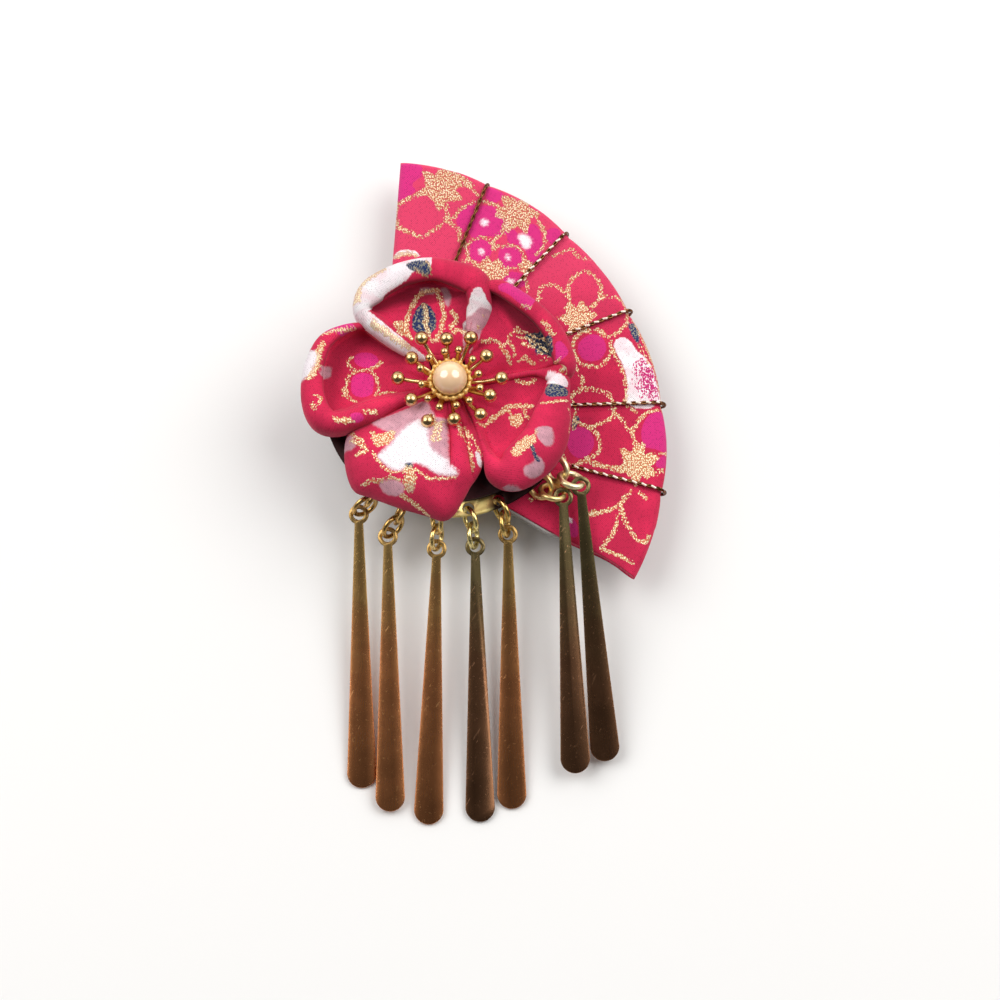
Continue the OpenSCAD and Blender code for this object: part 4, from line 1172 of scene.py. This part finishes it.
def petal_grid(cut, around=240, along=96):
    """Middle surface of a petal, the same points flat on the cloth, in millimetres, and the
    painted shade on the cloth at each, which is painted light where it is below 0."""
    rim = smooth_line(cut.rim, around + 1, closed=True)[:-1]
    plan, half, top = rim[:, :2], np.maximum(rim[:, 2] - 0.3, 0.16), rim[:, 3]
    tangent = np.roll(plan, -4, 0) - np.roll(plan, 4, 0)
    tangent /= np.linalg.norm(tangent, axis=1, keepdims=True)
    out = np.column_stack([tangent[:, 1], -tangent[:, 0]])
    inward = np.array(cut.middle) - plan
    reach = np.linalg.norm(inward, axis=1)
    inward /= reach[:, None]
    section = (cup_section(plan, half, top, out, inward, reach, cut.lift) if cut.lift
               else pouch_section(plan, half, top, out, inward, reach, POUCH_CREST))
    weights = smoothing(section, along)
    grid = np.einsum("rc,cpk->prk", weights, section)
    if cut.lift:
        # Painted shade on the outside of the roll and in the fold under the far rim.
        outer = ((grid[..., :2] - plan[:, None]) * out[:, None]).sum(-1) / (half[:, None] + 0.6)
        shaded = np.clip(outer * 0.9 + 0.3, 0, 1.35)
        inset = -outer * (half[:, None] + 0.6) - half[:, None]
        band = np.clip(1.5 - inset / 2.6, 0, 1) * np.clip((inset + 0.3) / 0.25, 0, 1)
        fold_shade_here = cut.painted_fold_shade * tucked_share(plan, out)[:, None]
        shaded = np.maximum(shaded, fold_shade_here * band)
        # Painted light: the floor well inside the far rim is made brighter.
        shaded = shaded - 0.3 * fold_shade_here * np.clip(inset / 1.5 - 2.6, 0, 1)
    else:
        # Painted shade: the closed petal is darker lower down.
        shaded = np.clip((6.7 - grid[..., 2]) / 3.6, 0, 1.5)
    grid[:, 0] = grid[:, 0].mean(axis=0)
    steps = np.linalg.norm(np.diff(grid, axis=1), axis=2)
    run = np.concatenate([np.zeros((around, 1)), np.cumsum(steps, axis=1)], axis=1)
    cloth = np.array(cut.middle) - inward[:, None, :] * run[..., None]
    grid[..., 2] += PETAL_Z
    for valley in VALLEYS:
        if valley.node == cut.node:
            start = np.array([valley.x1, valley.y1])
            line = np.array([valley.x2, valley.y2]) - start
            span = np.linalg.norm(line)
            line /= span
            away = grid[..., :2] - start
            share = away @ line / span
            across = away @ np.array([line[1], -line[0]])
            ends = np.clip(1.5 * share + 0.3, 0, 1) * np.clip((1 - share) * 3.0 + 0.5, 0, 1)
            high = np.clip((grid[..., 2] - PETAL_Z - 1.0) / 2, 0, 1)
            grid[..., 2] -= valley.depth * np.exp(-np.abs(across) / valley.width) * ends * high
    loose = np.clip(run / 4, 0, 1)
    grid[..., 2] += 0.14 * loose * soft_noise(grid, 4.5, cut.seed)
    shift = soft_noise(grid, 6.0, cut.seed + 20) * loose * 0.22
    grid[..., :2] += out[:, None, :] * shift[..., None]
    radius = np.hypot(grid[..., 0], grid[..., 1])
    turn = np.arctan2(grid[..., 1], grid[..., 0])
    fan_out = np.stack([np.cos(turn) * 10, np.sin(turn) * 10, radius * 0.12], -1)
    near = np.clip((15 - radius) / 9, 0, 1) * np.clip((radius - 2) / 3, 0, 1)
    grid[..., 2] += 0.26 * near * soft_noise(fan_out, 1.15, cut.seed + 40)
    return grid, cloth, shaded


def petal_mesh(cut, thickness):
    grid, cloth, shaded = petal_grid(cut)
    wrapped = np.concatenate([grid[-1:], grid, grid[:1]])
    normal = grid_normals(wrapped)[1:-1]
    normal[:, 0] = (0, 0, 1)
    rounded = np.ones(grid.shape[1])
    rounded[-5:] = np.sqrt(np.clip(1 - np.linspace(0, 0.98, 5) ** 2, 0, 1))
    half = thickness / 2 * rounded[None, :, None]
    points = np.concatenate([(grid + normal * half).reshape(-1, 3),
                             (grid - normal * half).reshape(-1, 3)])
    return points, skin_faces(*grid.shape[:2], looped=True), cloth.reshape(-1, 2), shaded.ravel()


class BARRETTE_OT_petals(bpy.types.Operator):
    """Make the five folded petals"""
    bl_idname = "barrette.petals"
    bl_label = "Petals"

    def execute(self, context):
        settings = context.scene.barrette_cloth
        # The petals' crimson is raised by 1.12 over the fan's as painted light.
        material = printed_cloth("petal_print", settings, 1.12)
        for cut in PETALS:
            points, faces, cloth, shaded = petal_mesh(cut, settings.thickness / MM)
            fields = {ink: np.tile(values, 2)
                      for ink, values in print_fields(PETAL_PRINTS[cut.node], cloth).items()}
            flat = np.column_stack([cloth, np.full(len(cloth), cut.seed)])
            fields["cloth"] = np.tile(flat, (2, 1))
            fields["shaded"] = np.tile(shaded, 2)
            piece = new_piece("cloth_" + cut.node, points, faces, material, fields)
            welded(piece)
            place(piece, "petal_cloth", cut.node)
        return {"FINISHED"}


# ---------------------------------------------------------------- middle of the flower

def lathe(name, profile, sides, finish):
    """A closed turned shape from radius and height pairs that begin and end on the axis."""
    profile = np.array(profile, float)
    ring = profile[1:-1]
    angle = np.linspace(0, 2 * math.pi, sides, endpoint=False)
    wall = np.stack([np.outer(ring[:, 0], np.cos(angle)), np.outer(ring[:, 0], np.sin(angle)),
                     np.repeat(ring[:, 1:], sides, 1)], -1).reshape(-1, 3)
    points = np.vstack([wall, [[0, 0, profile[0, 1]], [0, 0, profile[-1, 1]]]])
    count = len(ring)
    faces = [(r * sides + s, r * sides + (s + 1) % sides,
              (r + 1) * sides + (s + 1) % sides, (r + 1) * sides + s)
             for r in range(count - 1) for s in range(sides)]
    caps = [((s + 1) % sides, s, len(wall)) for s in range(sides)]
    last = (count - 1) * sides
    caps += [(last + s, last + (s + 1) % sides, len(wall) + 1) for s in range(sides)]
    mesh = bpy.data.meshes.new(name)
    mesh.from_pydata((points * MM).tolist(), [], faces + caps)
    mesh.shade_smooth()
    mesh.materials.append(finish)
    return linked(name, mesh)


def stamen_tree(finish):
    """Wires along lines, with a ball at each point that carries a size."""
    g, ends = growth("stamens", [("Wire", "Float")])
    line = g.add("GeometryNodeMeshToCurve", {}, {0: ends["Geometry"]})
    even = g.add("GeometryNodeResampleCurve", {"mode": "COUNT"}, {0: line, "Count": 14})
    profile = g.add("GeometryNodeCurvePrimitiveCircle", {}, {"Resolution": 10,
                                                             "Radius": ends["Wire"] * 0.5})
    wires = g.add("GeometryNodeCurveToMesh", {}, {0: even, 1: profile, "Fill Caps": True})
    ball = g.add("GeometryNodeMeshUVSphere", {}, {"Segments": 22, "Rings": 14, "Radius": 1.0})
    size = g.add("GeometryNodeInputNamedAttribute", {"data_type": "FLOAT"}, {"Name": "ball"})
    chosen = g.add("FunctionNodeCompare", {"data_type": "FLOAT", "operation": "GREATER_THAN"},
                   {0: size, 1: 0.0})
    spots = g.add("GeometryNodeMeshToPoints", {}, {0: ends["Geometry"], "Selection": chosen})
    balls = g.add("GeometryNodeInstanceOnPoints", {}, {0: spots, "Instance": ball,
                                                       "Scale": size})
    end_growth(g, g.add("GeometryNodeJoinGeometry", {}, {0: [wires, balls]}), finish)
    return g


def tooth_tree(finish):
    """A ring of small claws round the cup, beside what comes in."""
    g, ends = growth("cup_teeth", [("Teeth", "Int"), ("Ring", "Float"), ("Height", "Float"),
                                   ("Size", "Float")])
    circle = g.add("GeometryNodeMeshCircle", {}, {"Vertices": ends["Teeth"],
                                                  "Radius": ends["Ring"]})
    up = g.add("ShaderNodeCombineXYZ", {}, {2: ends["Height"]})
    lifted = g.add("GeometryNodeSetPosition", {}, {0: circle, "Offset": up})
    claw = g.add("GeometryNodeMeshUVSphere", {}, {"Segments": 14, "Rings": 10,
                                                  "Radius": ends["Size"]})
    shaped = g.add("GeometryNodeTransform", {}, {0: claw, "Scale": (1.0, 0.86, 1.5)})
    turn = g.add("GeometryNodeInputIndex") * (2 * math.pi) / ends["Teeth"]
    spin = g.add("ShaderNodeCombineXYZ", {}, {2: turn})
    claws = g.add("GeometryNodeInstanceOnPoints", {}, {0: lifted, "Instance": shaped,
                                                       "Rotation": spin})
    end_growth(g, g.add("GeometryNodeJoinGeometry", {}, {0: [claws, ends["Geometry"]]}), finish)
    return g


class Stamen(NamedTuple):
    """Direction in degrees; reach, ball radius and droop in millimetres."""
    turn: float
    reach: float
    ball: float
    droop: float


STAMENS = tuple(
    [Stamen(*row) for row in (
        (0, 9.7, 1.14, 0.0), (33, 8.2, 1.16, 0.1), (64, 8.9, 1.2, -0.1), (95, 7.9, 1.16, 0.1),
        (124, 9.6, 1.18, 0.0), (151, 8.3, 1.15, 0.1), (180, 9.8, 1.16, 0.0),
        (210, 8.4, 1.12, 0.1), (244, 9.4, 1.14, 0.0), (276, 8.1, 1.16, 0.1),
        (309, 9.2, 1.12, 0.0), (336, 8.3, 1.13, 0.1))]
    + [Stamen(12 + 30 * k + (k * 7 % 5) - 2, 5.7 + 0.25 * (k % 3 - 1), 0.68, 0.15)
       for k in range(12)])


class BARRETTE_OT_stamens(bpy.types.Operator):
    """Make the stamens and the toothed cup that holds the pearl"""
    bl_idname = "barrette.stamens"
    bl_label = "Stamens and cup"

    def execute(self, context):
        settings = context.scene.barrette_metal
        material = gilt("stamen_gilt", settings.gilt, 0.24, Coat_Weight=1.0, Coat_IOR=1.9,
                        Coat_Roughness=0.09)
        claws = gilt("cup_gilt", (1.0, 0.72, 0.26), 0.38, metallic=0.45)
        lines, sizes, edges = [], [], []
        for stamen in STAMENS:
            root = np.array([CROWN_R - 0.9, CROWN_Z + 0.8])
            tip = np.array([stamen.reach, PEARL_Z - stamen.droop])
            bend = root + (tip - root) * 0.6 - np.array([0, 0.55])
            path = smooth_line([root, bend, tip], 7)
            edges += [(len(lines) + k, len(lines) + k + 1) for k in range(6)]
            for k, (out, up) in enumerate(path):
                x, y = polar(stamen.turn, out)
                lines.append((x, y, up))
                sizes.append(stamen.ball * BALL_SHARE * MM if k == 6 else 0.0)
        wires = new_piece("stamens", lines, [], material, {"ball": sizes}, edges)
        grown(wires, stamen_tree(material), {"Wire": STAMEN_WIRE * MM}, material)
        place(wires, "gold_metal", "stamen_crown")
        lip = CROWN_RIM
        cup = lathe("pearl_cup", [
            (0, PETAL_Z + 0.1), (1.7, PETAL_Z + 0.1), (2.0, PETAL_Z + 0.4), (2.0, CROWN_Z - 0.3),
            (2.3, CROWN_Z), (3.3, CROWN_Z + 0.2), (CROWN_R, CROWN_Z + 0.8), (3.85, lip - 0.9),
            (CROWN_R + 0.3, lip - 0.25), (CROWN_R + 0.15, lip + 0.05), (3.5, lip - 0.05),
            (3.34, lip - 0.35), (3.0, CROWN_Z + 1.6), (1.6, CROWN_Z + 0.75), (0, CROWN_Z + 0.55),
        ], 64, claws)
        grown(cup, tooth_tree(claws), {
            "Teeth": settings.teeth, "Ring": (CROWN_R + 0.08) * MM, "Height": (lip - 0.1) * MM,
            "Size": CLAW_R * MM}, claws)
        place(cup, "gold_metal", "stamen_crown")
        return {"FINISHED"}


class BARRETTE_OT_pearl(bpy.types.Operator):
    """Make the pearl"""
    bl_idname = "barrette.pearl"
    bl_label = "Pearl"

    def execute(self, context):
        settings = context.scene.barrette_pearl
        material, g = finish_of("pearl_lustre")
        where = g.here()
        cloud = g.noise(where, 260.0, 3.0)
        # Painted sheen: the colour shifts from lustre to the second colour as the surface turns
        # from the view.
        facing = g.add("ShaderNodeLayerWeight", {}, {"Blend": 0.35}, 1)
        tone = g.mix(facing.step(0.05, 0.75), settings.lustre, settings.grazing_sheen)
        tone = g.mix(cloud.step(0.4, 0.7) * 0.3, tone, (0.92, 0.68, 0.52))
        surface(g, tone, 0.30 - cloud * 0.08, 0.0, bump(g, cloud, 0.02, 0.3),
                Coat_Roughness=0.10, Coat_Weight=1.0, Coat_IOR=2.0, Specular_IOR_Level=0.6)
        turn = np.linspace(-90, 90, 41)
        cut = [(PEARL_R * math.cos(math.radians(a)), PEARL_Z + PEARL_R * math.sin(math.radians(a)))
               for a in turn]
        cut[0], cut[-1] = (0, PEARL_Z - PEARL_R), (0, PEARL_Z + PEARL_R)
        piece = lathe("pearl_bead", cut, 72, material)
        place(piece, "pearl", "pearl")
        return {"FINISHED"}


# ---------------------------------------------------------------- metalwork

def node_points(node):
    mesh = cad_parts[node].data
    flat = np.empty(3 * len(mesh.vertices))
    mesh.vertices.foreach_get("co", flat)
    return flat.reshape(-1, 3)


def ring_tree(finish):
    """A jump ring: round wire bent nearly closed, with its cut showing."""
    g, ends = growth("jump_ring", [("Centre", "Vector"), ("Axis", "Vector"), ("Radius", "Float"),
                                   ("Wire", "Float"), ("Cut", "Float")])
    arc = g.add("GeometryNodeCurveArc", {}, {
        "Resolution": 56, "Radius": ends["Radius"], "Start Angle": ends["Cut"],
        "Sweep Angle": math.radians(RING_SWEEP)})
    profile = g.add("GeometryNodeCurvePrimitiveCircle", {}, {"Resolution": 12,
                                                             "Radius": ends["Wire"] * 0.5})
    wire = g.add("GeometryNodeCurveToMesh", {}, {0: arc, 1: profile, "Fill Caps": True})
    turned = g.add("FunctionNodeAlignRotationToVector", {"axis": "Z"}, {"Vector": ends["Axis"]})
    placed = g.add("GeometryNodeTransform", {}, {0: wire, "Translation": ends["Centre"],
                                                 "Rotation": turned})
    end_growth(g, placed, finish)
    return g


class RingLook(NamedTuple):
    """How a strip's two rings look: colour, painted pale on rings 6 and 7 as a painted highlight
    and darker on rings 1 and 2, roughness, and wire as a share of the plain ring's.
    """
    shade: tuple
    rough: float
    wire: float


RING_LOOKS = (
    RingLook((0.62, 0.42, 0.17), 0.26, 1.0), RingLook((0.66, 0.46, 0.18), 0.26, 1.0),
    RingLook((0.95, 0.74, 0.32), 0.26, 1.0), RingLook((0.95, 0.82, 0.36), 0.26, 1.0),
    RingLook((0.84, 0.66, 0.26), 0.26, 1.0), RingLook((1.0, 0.84, 0.42), 0.34, 1.16),
    RingLook((1.0, 0.90, 0.58), 0.38, 1.26),
)


class BARRETTE_OT_rings(bpy.types.Operator):
    """Make the fourteen jump rings"""
    bl_idname = "barrette.rings"
    bl_label = "Jump rings"

    def execute(self, context):
        settings = context.scene.barrette_metal
        for number, look in enumerate(RING_LOOKS, 1):
            # Each pair of rings is the same gilt, painted pale on rings 6 and 7 as a painted
            # highlight.
            material = gilt(f"ring_gilt_{number}", look.shade, look.rough)
            tree = ring_tree(material)
            for row in ("upper", "lower"):
                node = f"ring_{row}_{number}"
                points = node_points(node)
                centre = (points.min(0) + points.max(0)) / 2
                axis = np.linalg.svd(points - centre, full_matrices=False)[2][2]
                piece = new_piece("jump_" + node, [(0, 0, 0)], [], material)
                grown(piece, tree, {
                    "Centre": tuple(centre), "Axis": tuple(axis),
                    "Radius": settings.ring_mean / 2,
                    "Wire": settings.ring_wire * look.wire,
                    "Cut": math.radians(40 * number + (150 if row == "upper" else 0))}, material)
                place(piece, "gold_metal", node)
        return {"FINISHED"}


def softened(name, node, finish, edge):
    """A copy of a stamped node with its edges rounded."""
    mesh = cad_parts[node].data.copy()
    mesh.name = name
    work = bmesh.new()
    work.from_mesh(mesh)
    bmesh.ops.remove_doubles(work, verts=work.verts, dist=1e-6)
    bmesh.ops.dissolve_limit(work, angle_limit=math.radians(2), verts=work.verts,
                             edges=work.edges)
    work.to_mesh(mesh)
    work.free()
    mesh.materials.clear()
    mesh.materials.append(finish)
    piece = linked(name, mesh)
    bevel = piece.modifiers.new("round", "BEVEL")
    bevel.width, bevel.segments, bevel.limit_method = edge, 2, "ANGLE"
    bevel.angle_limit = math.radians(50)
    rounded = made_plain(piece)
    rounded.shade_smooth()
    rounded.set_sharp_from_angle(angle=math.radians(38))
    return piece


class BARRETTE_OT_strips(bpy.types.Operator):
    """Make the seven hanging strips"""
    bl_idname = "barrette.strips"
    bl_label = "Strips"

    def execute(self, context):
        settings = context.scene.barrette_metal
        for number, light in enumerate(STRIP_LIGHT, 1):
            # Each strip is the same metal, painted lighter or darker, and greener when dark, for
            # how it catches the light.
            cast = GREEN_CAST if light < DARK_STRIP else 1.0
            worn = worn_reflecting_gilt(f"strip_gilt_{number}", tinted(tinted(settings.worn, light), cast))
            piece = softened(f"gilt_strip_{number}", f"strip_{number}", worn, settings.edge)
            place(piece, "gold_metal", f"strip_{number}")
        return {"FINISHED"}


class BARRETTE_OT_plate(bpy.types.Operator):
    """Make the curved plate that the rings hang from"""
    bl_idname = "barrette.plate"
    bl_label = "Ring plate"

    def execute(self, context):
        settings = context.scene.barrette_metal
        # The plate's left end is painted near black as a painted dark reflection, its right end as
        # painted shade.
        material = gilt("plate_gilt", (0.98, 0.82, 0.34), 0.36,
                        painted_darkness=((-0.008, -0.014), (0.0066, 0.0086)))
        piece = softened("ring_plate", "drop_plate", material, settings.edge)
        place(piece, "gold_metal", "drop_plate")
        return {"FINISHED"}


class BARRETTE_OT_disc(bpy.types.Operator):
    """Finish the stiff disc behind the petals"""
    bl_idname = "barrette.disc"
    bl_label = "Backing disc"

    def execute(self, context):
        material, g = finish_of("dark_felt")
        where = g.here()
        hair = g.noise(where, 3200.0, 4.0)
        cloud = g.noise(where, 220.0, 3.0)
        tone = g.mix(cloud.step(0.3, 0.7), (0.022, 0.004, 0.006), (0.060, 0.010, 0.014))
        tone = g.mix(hair.step(0.6, 0.75) * 0.5, tone, (0.070, 0.028, 0.03))
        surface(g, tone, 0.95 - hair * 0.1, 0.0, bump(g, hair, 0.12, 0.8), Sheen_Weight=0.04)
        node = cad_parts["backing_disc"]
        node.data.materials.clear()
        node.data.materials.append(material)
        return {"FINISHED"}


class BARRETTE_OT_clasp(bpy.types.Operator):
    """Make the clasp, its edges rounded and its faces brushed"""
    bl_idname = "barrette.clasp"
    bl_label = "Clasp"

    def execute(self, context):
        settings = context.scene.barrette_metal
        material, g = finish_of("brushed_steel")
        where = g.here()
        grain = g.noise(g.scaled(where, (0.03, 1.0, 1.0)), 5200.0, 3.0)
        cloud = g.noise(where, 120.0, 2.0)
        tone = g.mix(grain.step(0.3, 0.7), tinted(settings.steel, 0.82), settings.steel)
        tone = g.mix(cloud.step(0.5, 0.8) * 0.3, tone, tinted(settings.steel, 0.7))
        surface(g, tone, (grain - 0.5) * 0.25 + 0.34, 1.0, bump(g, grain, 0.02, 0.5))
        piece = softened("steel_clasp", "hair_clasp", material, settings.edge * 1.6)
        place(piece, "clasp_steel", "hair_clasp")
        return {"FINISHED"}


# ---------------------------------------------------------------- stage

class BARRETTE_OT_stage(bpy.types.Operator):
    """Make the floor, the lamps, the sky and the camera"""
    bl_idname = "barrette.stage"
    bl_label = "Stage"

    def execute(self, context):
        settings = context.scene.barrette_stage
        scene = context.scene
        scene.view_settings.view_transform = "Standard"
        material, g = finish_of("pale_floor")
        where = g.here()
        tone = g.mix(g.noise(where, 8.0, 2.0), tinted(settings.floor, 0.985), settings.floor)
        surface(g, tone, 0.85)
        ground = 1600.0
        floor = new_piece("floor", [(-ground, -ground, -0.03), (ground, -ground, -0.03),
                                    (ground, ground, -0.03), (-ground, ground, -0.03)],
                          [(0, 1, 2, 3)], material)
        aim = Vector((0.0, 0.0, 0.02))
        for side in (-1, 1):
            lamp = bpy.data.lights.new(f"lamp_{'left' if side < 0 else 'right'}", "AREA")
            lamp.shape, lamp.size, lamp.energy = "DISK", LAMP_SIZE, settings.lamp
            lamp.color = (1.0, 0.985, 0.96)
            holder = linked(lamp.name, lamp)
            way = Vector((LAMP_WAY[0] * side, *LAMP_WAY[1:]))
            holder.location = aim + way * LAMP_AWAY
            holder.rotation_euler = way.to_track_quat("Z", "Y").to_euler()
        world = bpy.data.worlds.new("studio")
        scene.world = world
        world.use_nodes = True
        world.node_tree.nodes.clear()
        sky = Graph(world.node_tree)
        ray = sky.add("ShaderNodeTexCoord", {}, {}, 0)
        up = sky.add("ShaderNodeSeparateXYZ", {}, {0: ray}, 2)
        share = up.step(0.15, 0.85)
        ahead = up.output(1)
        level = share * (settings.zenith - settings.horizon) + settings.horizon
        level = level * (ahead.step(-0.6, 0.2) * 0.9 + ahead.step(0.4, 0.75) * 1.4 + 0.2)
        light = sky.add("ShaderNodeBackground", {}, {"Color": (1.0, 0.98, 0.97, 1.0),
                                                     "Strength": level})
        sky.add("ShaderNodeOutputWorld", {}, {"Surface": light})
        lens = bpy.data.cameras.new("camera")
        lens.sensor_width, lens.lens = 36.0, 85.26
        lens.clip_start, lens.clip_end = 0.01, 20.0
        camera = linked("camera", lens)
        camera.location = Vector(CAMERA_AT) * MM
        look = Vector(CAMERA_AIM) * MM - camera.location
        camera.rotation_euler = look.to_track_quat("-Z", "Y").to_euler()
        scene.camera = camera
        return {"FINISHED"}


OPERATORS = (
    BARRETTE_OT_stage, BARRETTE_OT_fan_cover, BARRETTE_OT_fan_lining, BARRETTE_OT_fan_cords,
    BARRETTE_OT_disc, BARRETTE_OT_petals, BARRETTE_OT_stamens, BARRETTE_OT_pearl,
    BARRETTE_OT_plate, BARRETTE_OT_rings, BARRETTE_OT_strips, BARRETTE_OT_clasp,
)


class BARRETTE_PT_pieces(bpy.types.Panel):
    """Lists the pieces and their settings"""
    bl_idname = "BARRETTE_PT_pieces"
    bl_label = "Barrette"
    bl_space_type = "VIEW_3D"
    bl_region_type = "UI"
    bl_category = "Barrette"

    def draw(self, context):
        for operator in OPERATORS:
            self.layout.operator(operator.bl_idname)
        for name, group in SETTINGS:
            box = self.layout.box()
            for prop in group.__annotations__:
                box.prop(getattr(context.scene, name), prop)


SETTINGS = (
    ("barrette_cloth", BarretteCloth), ("barrette_metal", BarretteMetal),
    ("barrette_cord", BarretteCord), ("barrette_pearl", BarrettePearl),
    ("barrette_stage", BarretteStage),
)


def register():
    for name, group in SETTINGS:
        bpy.utils.register_class(group)
        setattr(bpy.types.Scene, name, PointerProperty(type=group))
    for kind in (*OPERATORS, BARRETTE_PT_pieces):
        bpy.utils.register_class(kind)


def unregister():
    for kind in (BARRETTE_PT_pieces, *reversed(OPERATORS)):
        bpy.utils.unregister_class(kind)
    for name, group in reversed(SETTINGS):
        delattr(bpy.types.Scene, name)
        bpy.utils.unregister_class(group)


def main():
    register()
    for operator in OPERATORS:
        section, name = operator.bl_idname.split(".")
        getattr(getattr(bpy.ops, section), name)()
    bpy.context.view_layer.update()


if __name__ == "__main__":
    main()
